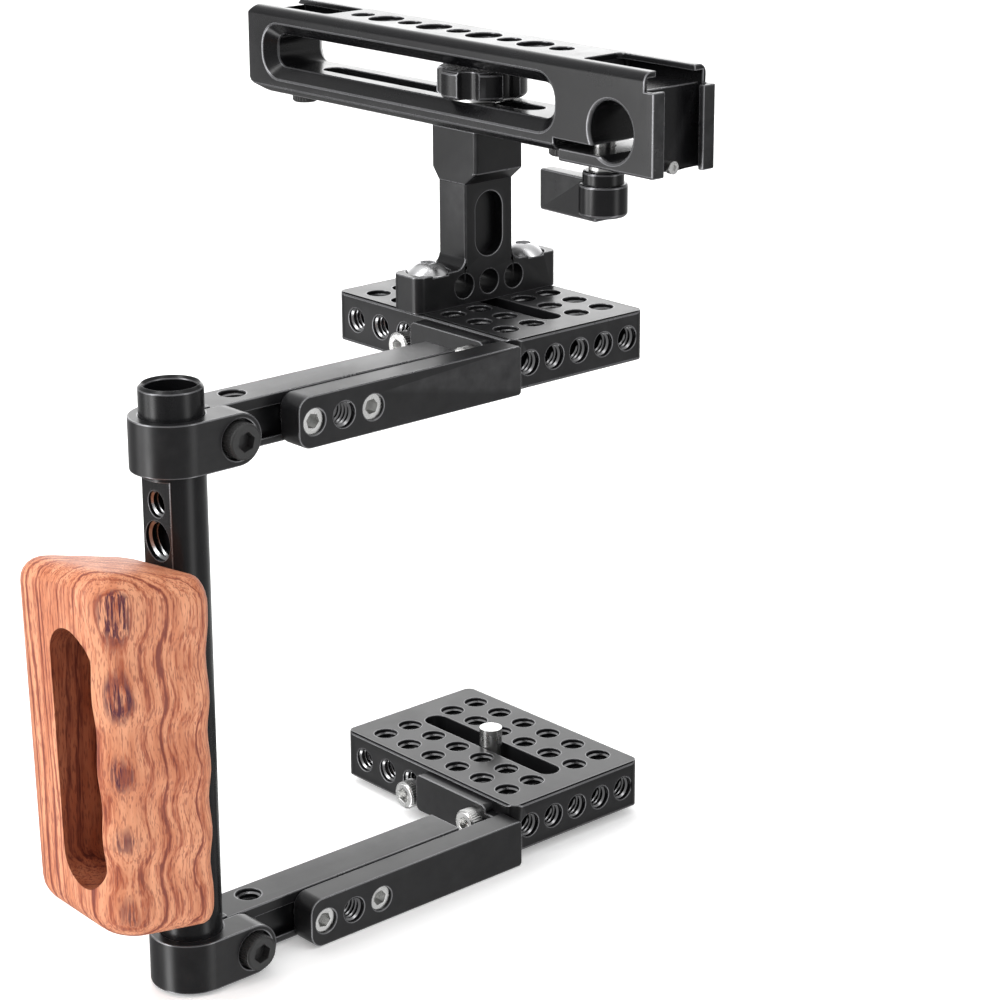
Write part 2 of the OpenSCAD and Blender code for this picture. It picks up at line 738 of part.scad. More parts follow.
module wood_grip() {
    n = 4 * grip_arc;
    end = grip_end();
    step = (grip_h - 2 * grip_end_r) / (grip_rings + 1);
    rings = concat(
        [for (e = end) [e[0] / grip_h, e[1], e[2]]],
        [for (i = [1:grip_rings]) [(grip_end_r + i * step) / grip_h, 0, 1]],
        [for (i = [len(end) - 1:-1:0]) [1 - end[i][0] / grip_h, end[i][1], end[i][2]]]);
    last = len(rings) - 1;
    points = [for (g = rings, p = grip_ring(g[0], g[1], g[2])) p];
    sides = [for (i = [0:last - 1], j = [0:n - 1]) let (k = (j + 1) % n)
        each [[i * n + j, (i + 1) * n + j, (i + 1) * n + k], [i * n + j, (i + 1) * n + k, i * n + k]]];
    bottom_fan = [for (j = [1:n - 2]) [0, j, j + 1]];
    top_fan = [for (j = [1:n - 2]) [last * n, last * n + j + 1, last * n + j]];
    color(padauk) difference() {
        polyhedron(points, concat(sides, bottom_fan, top_fan), convexity = 4);
        along_x(grip_outer - 1, pocket_depth + 1)
            translate([pocket_mid_y, 0]) stadium(pocket_w, pocket_z, pocket_z + pocket_h);
        for (z = grip_screw_z) translate([0, 0, z])
            cyl_x(grip_inner - grip_thread - 0.5, grip_thread + 1, m5_r);
    }
}

// Screws that go through the rod into the grip, with their heads sunk in the rod
module grip_screws() {
    len = grip_head_x + rod_flat_x + grip_thread;
    color(black) for (z = grip_screw_z)
        translate([grip_head_x + cap_head_h, 0, z]) rotate([0, 90, 0])
            socket_screw(cap_head_r, cap_head_h, m5_r - 0.02, len);
}

// ---------------------------------------------------------------- stem

module stem() {
    pocket_z0 = foot_h + 2.4;
    pocket_z1 = stem_h - head_h - head_slope - 2.6;
    fillet = 3;
    shaft_top = stem_h - head_h - head_slope;
    color(black) translate([plate_mid_x, 0, stem_z]) difference() {
        union() {
            translate([0, foot_mid_y, 0])
                linear_extrude(foot_h) round_rect(foot_len, foot_t, foot_corner_r);
            translate([0, shaft_front + stem_t / 2, 0])
                linear_extrude(stem_h - eps) round_rect(stem_w - eps, stem_t, stem_corner_r);
            along_y(shaft_front, stem_t) translate([0, foot_h]) for (m = [0, 1]) mirror([m, 0])
                translate([stem_w / 2 - eps, -eps]) difference() {
                    square(fillet);
                    translate([fillet, fillet]) circle(fillet);
                }
            translate([0, (head_front + head_back) / 2, stem_h - head_h])
                linear_extrude(head_h) round_rect(head_w, head_back - head_front, head_corner_r);
            hull() {
                translate([0, shaft_front + stem_t / 2, shaft_top])
                    linear_extrude(eps) round_rect(head_w, stem_t, stem_corner_r, $fn = 32);
                translate([0, (head_front + head_back) / 2, stem_h - head_h])
                    linear_extrude(eps)
                        round_rect(head_w, head_back - head_front, head_corner_r, $fn = 32);
            }
        }
        along_y(shaft_front - eps, stem_pocket_depth) stadium(stem_pocket_w, pocket_z0, pocket_z1);
        for (i = [-1:1]) translate([i * foot_hole_pitch, 0, foot_hole_z])
            cyl_y(foot_front - eps, foot_t + 2 * eps, foot_hole_r);
        for (x = [column_x[0], column_x[3]])
            translate([x, plate_row_y(stem_row), -eps])
                cylinder(h = foot_h + 2 * eps, r = quarter_r + 0.2);
        for (x = [column_x[0], column_x[3]])
            translate([x, plate_row_y(stem_row), foot_h - button_seat_depth])
                cylinder(h = button_seat_depth + eps, r = button_seat_r);
        translate([0, stud_y, stem_h - stud_depth]) cylinder(h = stud_depth + eps, r = m6_r);
    }
}

module stem_screws() {
    color(bright) for (x = [column_x[0], column_x[3]])
        translate([plate_mid_x + x, plate_row_y(stem_row), stem_z + foot_h - button_seat_depth])
            button_screw(button_r, button_h, quarter_r - 0.02,
                foot_h - button_seat_depth + stem_screw_depth);
}

module handle_stud() {
    z0 = handle_z - stud_depth;
    color(bright) translate([plate_mid_x, stud_y, z0])
        cylinder(h = nut_z + nut_h - 0.4 - z0, r = m6_r);
}

module slot_washer() {
    color(bright) translate([plate_mid_x, stud_y, handle_z + window_floor + 0.05]) difference() {
        cylinder(h = slot_washer_t, r = slot_washer_r);
        translate([0, 0, -eps]) cylinder(h = slot_washer_t + 2 * eps, r = m6_r + 0.05);
    }
}

// Thumb nut with round lobes between concave flutes
module slot_nut() {
    r = nut_d / 2;
    flute_r = r * 0.27;
    color(black) translate([plate_mid_x, stud_y, nut_z]) difference() {
        rotate_extrude() polygon([[0, 0], [r - 0.7, 0], [r, 0.7], [r, nut_h - 0.7],
            [r - 0.7, nut_h], [0, nut_h]]);
        for (i = [0:nut_lobes - 1]) rotate([0, 0, (i + 0.5) * 360 / nut_lobes])
            translate([r + flute_r * 0.3, 0, -eps]) cylinder(h = nut_h + 2 * eps, r = flute_r);
        translate([0, 0, -eps]) cylinder(h = nut_h + 2 * eps, r = m6_r + running_fit);
    }
}

// ---------------------------------------------------------------- top handle

// Cross-section of the handle in (X, Z), from z0 up to its top
module handle_section(z0, chamfer) {
    h = handle_top - z0;
    w = handle_w;
    difference() {
        translate([-w / 2, z0]) square([w, h]);
        for (m = [0, 1]) mirror([m, 0]) {
            translate([w / 2 - edge_round, handle_top - edge_round]) difference() {
                square(edge_round + eps);
                circle(edge_round);
            }
            translate([w / 2 - chamfer, z0])
                polygon([[0, -eps], [chamfer + eps, -eps], [chamfer + eps, chamfer]]);
        }
    }
}

// Side view of the grip part in (Y, Z), with the cut rear corner
module handle_side() {
    back = handle_front + handle_len;
    polygon([[handle_front, handle_z], [back - rear_cut_len - 1, handle_z],
        [back - rear_cut_len + 0.8, handle_z + 0.4], [back - 0.6, handle_z + rear_cut_h - 0.5],
        [back, handle_z + rear_cut_h + 0.5], [back, handle_top - rear_top_cut],
        [back - rear_top_cut, handle_top], [handle_front, handle_top]]);
}

// Bevelled window through the handle's sides
module window_cut() {
    y0 = handle_front + window_front;
    y1 = handle_front + handle_len - window_back;
    z0 = handle_z + window_floor;
    mid_y = (y0 + y1) / 2;
    mid_z = z0 + window_h / 2;
    outer_r = window_corner + window_bevel;
    along_x(-handle_w, 2 * handle_w) translate([mid_y, mid_z])
        round_rect(y1 - y0, window_h, window_corner);
    for (m = [0, 1]) mirror([m, 0, 0]) hull() {
        along_x(handle_w / 2 - window_bevel, eps) translate([mid_y, mid_z])
            round_rect(y1 - y0, window_h, window_corner, $fn = 32);
        along_x(handle_w / 2, 1) translate([mid_y, mid_z])
            round_rect(y1 - y0 + 2 * window_bevel, window_h + 2 * window_bevel, outer_r, $fn = 32);
    }
}

// Cold shoe channel in (X, depth): the mouth is at depth 0
module shoe_section() {
    translate([-shoe_mouth / 2, -1]) square([shoe_mouth, shoe_depth + 1]);
    translate([-shoe_w / 2, lip_t]) square([shoe_w, shoe_depth - lip_t]);
}

// Channel with a round inner end, open at y = 0 and running to y = len
module shoe_cut(len) {
    for (part = [[shoe_mouth, -1, shoe_depth + 1], [shoe_w, lip_t, shoe_depth - lip_t]])
        translate([0, 0, -part[1] - part[2]]) linear_extrude(part[2]) difference() {
            translate([-part[0] / 2, -1]) square([part[0], len + 1]);
            for (m = [0, 1]) mirror([m, 0]) translate([part[0] / 2 - shoe_round, len - shoe_round])
                difference() {
                    square(shoe_round + eps);
                    circle(shoe_round);
                }
        }
}

module clamp_cut() {
    hole_back = clamp_setback;
    translate([0, clamp_y, clamp_z]) cyl_x(-handle_w, 2 * handle_w, clamp_rod_d / 2);
    for (m = [0, 1]) mirror([m, 0, 0]) translate([0, clamp_y, clamp_z]) rotate([0, 90, 0])
        translate([0, 0, handle_w / 2 - 0.5])
            cylinder(h = 0.6, r1 = clamp_rod_d / 2, r2 = clamp_rod_d / 2 + 0.6);
    translate([-handle_w, handle_front + hole_back, jaw_slit_z])
        cube([2 * handle_w, jaw_len - hole_back + jaw_mouth, jaw_slit]);
    translate([-handle_w, handle_front + jaw_len, block_z - 1])
        cube([2 * handle_w, jaw_mouth, jaw_slit_z - block_z + 1 + eps]);
}

module top_handle() {
    back = handle_front + handle_len;
    block_len = jaw_len + jaw_mouth + 1;
    vertical_top = handle_top - shoe_depth;
    color(black) translate([handle_x, 0, 0]) difference() {
        union() {
            intersection() {
                along_y(handle_front, handle_len) handle_section(handle_z, edge_chamfer);
                along_x(-handle_w / 2, handle_w) handle_side();
            }
            along_y(handle_front, jaw_len) handle_section(block_z, block_chamfer);
        }
        window_cut();
        translate([0, 0, handle_z - 1]) linear_extrude(window_floor + 2)
            stadium(handle_slot_w, handle_front + slot_front, back - slot_back);
        for (i = [0:top_count - 1])
            translate([0, handle_front + top_first + i * top_pitch, handle_top - window_floor - 1])
                cylinder(h = window_floor + 2, r = i % 2 == 0 ? quarter_r : three_eighths_r);
        translate([0, handle_front, handle_top]) shoe_cut(front_shoe_len);
        translate([0, back, handle_top]) mirror([0, 1, 0]) shoe_cut(back_shoe_len);
        // upright cold shoe on the front end
        translate([0, handle_front, block_z - 1]) linear_extrude(vertical_top - block_z + 1 + eps)
            shoe_section();
        // front corners of the top shoe's floor
        translate([-handle_w, handle_front - eps, vertical_top])
            cube([2 * handle_w, lip_setback + eps, shoe_depth + 1]);
        clamp_cut();
        translate([0, jaw_bolt_y, block_z - 1])
            cylinder(h = jaw_t + 1 + jaw_bore_h, r = m6_r + running_fit);
        for (y = [handle_front + stop_front, back - stop_back])
            translate([0, y, handle_z - eps]) cylinder(h = 5, r = small_screw_r);
        translate([0, handle_front + shoe_depth - eps, block_z + shoe_stop_z])
            cyl_y(0, 3, 1);
    }
}

module handle_stop_screws() {
    color(black) for (y = [handle_front + stop_front, handle_front + handle_len - stop_back])
        translate([handle_x, y, handle_z - stop_head_h]) mirror([0, 0, 1])
            socket_screw(stop_head_r, stop_head_h, small_screw_r, 4.6);
}

module shoe_stop_screw() {
    color(bright) translate([handle_x, handle_front + shoe_depth - shoe_stop_h, block_z + shoe_stop_z])
        difference() {
            union() {
                cyl_y(0, shoe_stop_h, shoe_stop_r);
                cyl_y(shoe_stop_h - 0.1, 2.6, 1);
            }
            translate([0, 0.5, 0]) rotate([90, 0, 0])
                cylinder(h = 1, r = shoe_stop_r / 2, $fn = 6);
        }
}

// ---------------------------------------------------------------- clamp lever

module clamp_bolt() {
    color(bright) translate([handle_x, jaw_bolt_y, hub_z + 1.5])
        cylinder(h = jaw_slit_z + jaw_bolt_len - hub_z, r = m6_r);
}

module clamp_bush() {
    color(bright) translate([handle_x, jaw_bolt_y, hub_z + hub_h + hub_top_h]) difference() {
        cylinder(h = bush_h, r = bush_r + 0.4);
        translate([0, 0, -eps]) cylinder(h = bush_h + 2 * eps, r = m6_r + 0.02);
    }
}

// Hub with a flat wing that tapers towards its tip
module clamp_lever() {
    tip_t = wing_t * 0.72;
    color(black) translate([handle_x, jaw_bolt_y, hub_z]) difference() {
        union() {
            rotate_extrude() polygon([[0, 0], [hub_d / 2 - 0.6, 0], [hub_d / 2, 0.6],
                [hub_d / 2, hub_h - 0.4], [hub_d / 2 - 0.4, hub_h], [hub_top_r, hub_h],
                [hub_top_r, hub_h + hub_top_h - 0.4], [hub_top_r - 0.4, hub_h + hub_top_h],
                [0, hub_h + hub_top_h]]);
            translate([0, 0, -wing_drop]) intersection() {
                linear_extrude(wing_h)
                    polygon([[-wing_t / 2, 0], [wing_t / 2, 0], [tip_t / 2, wing_len - 0.8],
                        [tip_t / 2 - 0.8, wing_len], [0.8 - tip_t / 2, wing_len],
                        [-tip_t / 2, wing_len - 0.8]]);
                along_x(-wing_t, 2 * wing_t) translate([wing_len / 2 - wing_corner, wing_h / 2])
                    round_rect(wing_len + 2 * wing_corner, wing_h, wing_corner);
            }
        }
        translate([0, 0, 1.5]) cylinder(h = hub_h + hub_top_h, r = m6_r + 0.01);
    }
}

lower_plate();
lower_rail();
lower_rail_screws();
lower_side_screws();
camera_screw();
lower_arm();
lower_clamp_bolt();
lower_clamp_washer();
side_rod();
wood_grip();
grip_screws();
upper_arm();
upper_clamp_bolt();
upper_clamp_washer();
upper_plate();
upper_rail();
upper_rail_screws();
upper_side_screws();
stem();
stem_screws();
handle_stud();
slot_washer();
slot_nut();
top_handle();
handle_stop_screws();
shoe_stop_screw();
clamp_bolt();
clamp_bush();
clamp_lever();
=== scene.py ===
"""Dressed model of an adjustable camera cage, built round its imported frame."""

import logging
import math
from dataclasses import dataclass
from enum import Enum
from typing import Callable, Iterable, Sequence

import bmesh
import bpy
from mathutils import Matrix, Vector


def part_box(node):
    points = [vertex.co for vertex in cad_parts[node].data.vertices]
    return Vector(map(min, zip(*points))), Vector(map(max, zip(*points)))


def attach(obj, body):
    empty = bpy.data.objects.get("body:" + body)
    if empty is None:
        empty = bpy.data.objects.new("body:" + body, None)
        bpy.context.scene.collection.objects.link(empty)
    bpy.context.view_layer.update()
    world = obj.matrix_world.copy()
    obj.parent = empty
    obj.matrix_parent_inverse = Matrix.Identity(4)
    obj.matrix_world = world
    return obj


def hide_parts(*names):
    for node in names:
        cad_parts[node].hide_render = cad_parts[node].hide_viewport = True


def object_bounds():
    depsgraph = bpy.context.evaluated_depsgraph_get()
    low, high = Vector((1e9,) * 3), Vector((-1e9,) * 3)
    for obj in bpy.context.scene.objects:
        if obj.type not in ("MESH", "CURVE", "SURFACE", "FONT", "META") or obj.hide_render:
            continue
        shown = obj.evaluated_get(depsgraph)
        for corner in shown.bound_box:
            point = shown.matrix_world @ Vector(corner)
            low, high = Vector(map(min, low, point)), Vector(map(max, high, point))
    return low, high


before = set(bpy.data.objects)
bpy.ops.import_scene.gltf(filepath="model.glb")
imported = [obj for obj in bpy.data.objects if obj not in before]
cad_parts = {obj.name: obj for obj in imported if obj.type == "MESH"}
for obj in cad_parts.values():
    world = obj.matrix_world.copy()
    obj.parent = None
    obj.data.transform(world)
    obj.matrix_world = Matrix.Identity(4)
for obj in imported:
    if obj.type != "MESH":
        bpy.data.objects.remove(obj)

CAD_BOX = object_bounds()
MM = 0.001
WELD = 1e-6
LOG = logging.getLogger("cage")
Colour = tuple[float, float, float]


class Axis(Enum):
    """Direction in which a hole opens or a screw's head faces."""

    RIGHT = (1.0, 0.0, 0.0)
    LEFT = (-1.0, 0.0, 0.0)
    BACK = (0.0, 1.0, 0.0)
    FRONT = (0.0, -1.0, 0.0)
    UP = (0.0, 0.0, 1.0)
    DOWN = (0.0, 0.0, -1.0)

    @property
    def vector(self) -> Vector:
        """The direction as a vector."""
        return Vector(self.value)

    def stand(self, foot: Vector) -> Matrix:
        """Places millimetre coordinates whose Z points along the axis.

        Args:
            foot: where their origin goes, in metres.

        Returns:
            The matrix that takes them to metres.
        """
        turn = self.vector.to_track_quat("Z", "Y").to_matrix().to_4x4()
        return Matrix.Translation(foot) @ turn @ Matrix.Scale(MM, 4)


class Slot(Enum):
    """Material slots of the record."""

    ANODISED = "black_anodised"
    OXIDE = "black_oxide"
    BRIGHT = "bright_steel"
    WOOD = "padauk"


class Thread(Enum):
    """Accessory threads: radius of the hole and pitch in millimetres."""

    QUARTER_INCH = (3.175, 1.27)
    THREE_EIGHTHS = (4.76, 1.59)

    @property
    def radius(self) -> float:
        """Radius of the hole."""
        return self.value[0]

    @property
    def pitch(self) -> float:
        """Distance between two turns."""
        return self.value[1]


# ------------------------------------------------------------------ node helpers


class NodeCanvas:
    """Thin wrapper that places and links shader nodes in one tree."""

    ROW = 8
    STEP = (220, -260)
    MIX_SOCKETS = (0, 6, 7)
    MIX_RESULT = 2

    def __init__(self, tree: bpy.types.NodeTree) -> None:
        """Keeps the tree.

        Args:
            tree: the tree that the nodes go into.
        """
        self.tree = tree
        self.count = 0

    def add(self, kind: str, inputs: dict | None = None, **settings: object) -> bpy.types.Node:
        """Adds a node.

        Args:
            kind: the node's Blender class, without the ShaderNode prefix.
            inputs: socket name or index to a plain value or an output socket.
            **settings: properties of the node.

        Returns:
            The new node.
        """
        node = self.tree.nodes.new("ShaderNode" + kind)
        down, right = divmod(self.count, self.ROW)
        node.location = (right * self.STEP[0], down * self.STEP[1])
        self.count += 1
        for name, value in settings.items():
            setattr(node, name, value)
        for name, value in (inputs or {}).items():
            if isinstance(value, bpy.types.NodeSocket):
                self.tree.links.new(value, node.inputs[name])
            else:
                node.inputs[name].default_value = value
        return node

    def math(self, operation: str, *values: object, clamp: bool = False) -> bpy.types.NodeSocket:
        """Adds a Math node.

        Args:
            operation: the Math node's operation.
            *values: its operands, numbers or sockets.
            clamp: whether the result is kept between 0 and 1.

        Returns:
            The result's socket.
        """
        node = self.add("Math", dict(enumerate(values)), operation=operation, use_clamp=clamp)
        return node.outputs[0]

    def vary(self, level: object, noise: bpy.types.NodeSocket,
             reach: float) -> bpy.types.NodeSocket:
        """Lets a value waver with a noise.

        Args:
            level: the value, a number or a socket.
            noise: the noise, whose middle is one half.
            reach: how much the value changes over the noise's whole range.

        Returns:
            The wavering value's socket.
        """
        return self.math("MULTIPLY_ADD", self.math("SUBTRACT", noise, 0.5), reach, level)

    def noise(self, place: bpy.types.NodeSocket, scale: object, detail: float,
              roughness: float = 0.5) -> bpy.types.NodeSocket:
        """Adds a solid noise.

        Args:
            place: the coordinates.
            scale: the noise's scale, a number or a socket.
            detail: how many finer noises are added to it.
            roughness: the share of the finer noises.

        Returns:
            The noise's socket.
        """
        node = self.add("TexNoise", {"Vector": place, "Scale": scale, "Detail": detail,
                                     "Roughness": roughness})
        return node.outputs["Fac"]

    def ramp(self, factor: bpy.types.NodeSocket, stops: Sequence[tuple]) -> bpy.types.NodeSocket:
        """Adds a colour ramp.

        Args:
            factor: the ramp's input.
            stops: (position, colour) pairs; a colour is a grey value or an RGB triple.

        Returns:
            The ramp's colour socket.
        """
        node = self.add("ValToRGB", {"Fac": factor})
        elements = node.color_ramp.elements
        while len(elements) < len(stops):
            elements.new(0.5)
        for element, (position, colour) in zip(elements, stops):
            element.position = position
            rgb = (colour,) * 3 if isinstance(colour, (int, float)) else tuple(colour)
            element.color = (*rgb, 1.0)
        return node.outputs["Color"]

    def mix(self, factor: object, a: object, b: object,
            blend: str = "MIX") -> bpy.types.NodeSocket:
        """Adds a colour mix.

        Args:
            factor: share of b, a number or a socket.
            a: first colour.
            b: second colour.
            blend: blend type.

        Returns:
            The mixed colour's socket.
        """
        node = self.add("Mix", data_type="RGBA", blend_type=blend)
        for index, value in zip(self.MIX_SOCKETS, (factor, a, b)):
            socket = node.inputs[index]
            if isinstance(value, bpy.types.NodeSocket):
                self.tree.links.new(value, socket)
            elif isinstance(value, (int, float)):
                socket.default_value = value
            else:
                socket.default_value = (*value, 1.0)
        return node.outputs[self.MIX_RESULT]


def group(name: str, inputs: dict[str, float], outputs: Sequence[str],
          body: Callable[[NodeCanvas, dict], dict]) -> bpy.types.NodeTree:
    """Makes a shader node group once.

    Args:
        name: the group's name.
        inputs: name and default value of each input, which are all numbers.
        outputs: names of the outputs, which are all numbers.
        body: draws the nodes; it gets the canvas and the input sockets and returns the outputs.

    Returns:
        The group's tree.
    """
    if name in bpy.data.node_groups:
        return bpy.data.node_groups[name]
    tree = bpy.data.node_groups.new(name, "ShaderNodeTree")
    for label, value in inputs.items():
        socket = tree.interface.new_socket(label, in_out="INPUT", socket_type="NodeSocketFloat")
        socket.default_value = value
    for label in outputs:
        tree.interface.new_socket(label, in_out="OUTPUT", socket_type="NodeSocketFloat")
    entry = tree.nodes.new("NodeGroupInput")
    leave = tree.nodes.new("NodeGroupOutput")
    results = body(NodeCanvas(tree), {label: entry.outputs[label] for label in inputs})
    for label, socket in results.items():
        tree.links.new(socket, leave.inputs[label])
    return tree


def blasted_grain() -> bpy.types.NodeTree:
    """Group for the fine matt grain that bead blasting leaves under anodising.

    Returns:
        A group with outputs Height and Tone, both from 0 to 1.
    """

    def body(c: NodeCanvas, i: dict) -> dict:
        """Draws a fine and a broad noise.

        Args:
            c: the group's canvas.
            i: its input sockets by name.

        Returns:
            Its output sockets by name.
        """
        place = c.add("TexCoord").outputs["Object"]
        return {"Height": c.noise(place, i["Fine"], detail=2.0, roughness=0.6),
                "Tone": c.noise(place, i["Broad"], detail=3.0)}

    return group("blasted_grain", {"Fine": 5000.0, "Broad": 60.0}, ("Height", "Tone"), body)


def edge_wear_and_highlight() -> bpy.types.NodeTree:
    """Group for a bright line along machined edges: part slight abrasion, part a painted edge
    highlight.

    Returns:
        A group with one output, Mask, from 0 to 1.
    """

    def body(c: NodeCanvas, i: dict) -> dict:
        """Draws the mask from the sharpness of the surface, in patches.

        Args:
            c: the group's canvas.
            i: its input sockets by name.

        Returns:
            Its output sockets by name.
        """
        sharp = c.add("NewGeometry").outputs["Pointiness"]
        raised = c.math("SUBTRACT", sharp, i["Threshold"])
        steep = c.math("MULTIPLY", raised, i["Contrast"], clamp=True)
        place = c.add("TexCoord").outputs["Object"]
        patch = c.noise(place, scale=300.0, detail=3.0)
        # Convex edges in patches get the mask: part abrasion, part painted edge highlight.
        worn_highlight = c.math("MULTIPLY", steep, patch)
        return {"Mask": c.math("MULTIPLY", worn_highlight, i["Amount"], clamp=True)}

    return group("edge_wear_and_highlight", {"Threshold": 0.52, "Contrast": 14.0, "Amount": 0.5}, ("Mask",),
                 body)


def settled_dust() -> bpy.types.NodeTree:
    """Group for the thin film of dust and finger grease that dulls a surface in patches.

    Returns:
        A group with one output, Mask, from 0 to 1.
    """

    def body(c: NodeCanvas, i: dict) -> dict:
        """Draws the patches.

        Args:
            c: the group's canvas.
            i: its input sockets by name.

        Returns:
            Its output sockets by name.
        """
        place = c.add("TexCoord").outputs["Object"]
        film = c.noise(place, i["Scale"], detail=5.0, roughness=0.65)
        kept = c.add("MapRange", {"Value": film, "From Min": 0.42, "From Max": 0.72,
                                  "To Max": i["Amount"]})
        return {"Mask": kept.outputs["Result"]}

    return group("settled_dust", {"Scale": 45.0, "Amount": 1.0}, ("Mask",), body)


# ------------------------------------------------------------------ finishes


@dataclass(frozen=True)
class Finish:
    """A surface finish that makes its own Blender material; its rim is the finish of its edges."""

    name: str
    slot: Slot | None = None
    rim: "Finish | None" = None

    def material(self) -> bpy.types.Material:
        """Makes the finish's material the first time it is asked for.

        Returns:
            The material.
        """
        made = bpy.data.materials.get(self.name)
        if made is None:
            made = bpy.data.materials.new(self.name)
            made.use_nodes = True
            self.paint(NodeCanvas(made.node_tree), made.node_tree.nodes["Principled BSDF"])
        return made

    def paint(self, c: NodeCanvas, shader: bpy.types.Node) -> None:
        """Draws the finish's nodes; each kind of finish has its own."""
        raise NotImplementedError

    @staticmethod
    def use(c: NodeCanvas, tree: bpy.types.NodeTree, **values: float) -> bpy.types.Node:
        """Places a node group.

        Args:
            c: the material's canvas.
            tree: the group's tree.
            **values: plain values for its inputs.

        Returns:
            The group node.
        """
        node = c.add("Group")
        node.node_tree = tree
        for label, value in values.items():
            node.inputs[label].default_value = value
        return node


@dataclass(frozen=True)
class Anodised(Finish):
    """Satin anodising on blasted or milled aluminium, its edges painted lighter grey as part
    abrasion, part painted highlight; fine, broad and film are noise scales.
    """

    colour: Colour = (0.0035, 0.0035, 0.004)
    # Lighter grey painted along the edges: part bared metal from abrasion, part painted edge
    # highlight.
    rubbed_and_highlight: Colour = (0.16, 0.16, 0.165)
    lighter: float = 1.5
    haze: float = 0.001
    roughness: float = 0.29
    grain: float = 0.4
    fine: float = 3400.0
    broad: float = 70.0
    film: float = 55.0
    dulled: float = 0.07
    # Strength of that lighter edge line: part abrasion, part painted highlight.
    wear_and_highlight: float = 0.25
    shine: float = 0.3
    metal: float = 0.0
    relief: float = 0.00002

    def paint(self, c: NodeCanvas, shader: bpy.types.Node) -> None:
        """Draws the anodised surface.

        Args:
            c: the material's canvas.
            shader: its shader.
        """
        tree = c.tree
        grain = self.use(c, blasted_grain(), Fine=self.fine, Broad=self.broad)
        worn_highlight = self.use(c, edge_wear_and_highlight(), Amount=self.wear_and_highlight)
        film = self.use(c, settled_dust(), Scale=self.film, Amount=1.0)
        light = tuple(v * self.lighter + self.haze for v in self.colour)
        tone = c.mix(grain.outputs["Tone"], self.colour, light)
        # Edges are painted lighter grey: part abrasion, part painted edge highlight.
        rubbed_and_highlight = c.mix(worn_highlight.outputs["Mask"], tone, self.rubbed_and_highlight)
        tree.links.new(rubbed_and_highlight, shader.inputs["Base Color"])
        rough = c.math("MULTIPLY_ADD", film.outputs["Mask"], self.dulled, self.roughness)
        tree.links.new(rough, shader.inputs["Roughness"])
        shader.inputs["Specular IOR Level"].default_value = self.shine
        shader.inputs["Metallic"].default_value = self.metal
        bump = c.add("Bump", {"Strength": self.grain, "Distance": self.relief,
                              "Height": grain.outputs["Height"]})
        tree.links.new(bump.outputs[0], shader.inputs["Normal"])


@dataclass(frozen=True)
class Plated(Finish):
    """Bright or blackened metal with fine turning marks; fine, broad and film are noise scales."""

    colour: Colour = (0.72, 0.72, 0.73)
    shade: float = 0.8
    roughness: float = 0.16
    marks: float = 0.25
    fine: float = 2600.0
    broad: float = 240.0
    film: float = 160.0
    dulled: float = 0.14
    relief: float = 0.00001

    def paint(self, c: NodeCanvas, shader: bpy.types.Node) -> None:
        """Draws the plated surface.

        Args:
            c: the material's canvas.
            shader: its shader.
        """
        tree = c.tree
        grain = self.use(c, blasted_grain(), Fine=self.fine, Broad=self.broad)
        film = self.use(c, settled_dust(), Scale=self.film, Amount=1.0)
        dark = tuple(v * self.shade for v in self.colour)
        tone = c.mix(grain.outputs["Tone"], dark, self.colour)
        tree.links.new(tone, shader.inputs["Base Color"])
        shader.inputs["Metallic"].default_value = 1.0
        rough = c.math("MULTIPLY_ADD", film.outputs["Mask"], self.dulled, self.roughness)
        tree.links.new(rough, shader.inputs["Roughness"])
        bump = c.add("Bump", {"Strength": self.marks, "Distance": self.relief,
                              "Height": grain.outputs["Height"]})
        tree.links.new(bump.outputs[0], shader.inputs["Normal"])


@dataclass(frozen=True)
class Pattern:
    """Solid noise over millimetres, drawn out upright by keeping only a share of the height."""

    scale: float
    detail: float
    share: float
    roughness: float = 0.5

    def draw(self, c: NodeCanvas, place: bpy.types.NodeSocket) -> bpy.types.NodeSocket:
        """Draws the noise.

        Args:
            c: the material's canvas.
            place: the coordinates.

        Returns:
            The noise's socket.
        """
        drawn_out = c.add("VectorMath", {0: place, 1: (1.0, 1.0, self.share)},
                          operation="MULTIPLY")
        return c.noise(drawn_out.outputs[0], self.scale, self.detail, self.roughness)


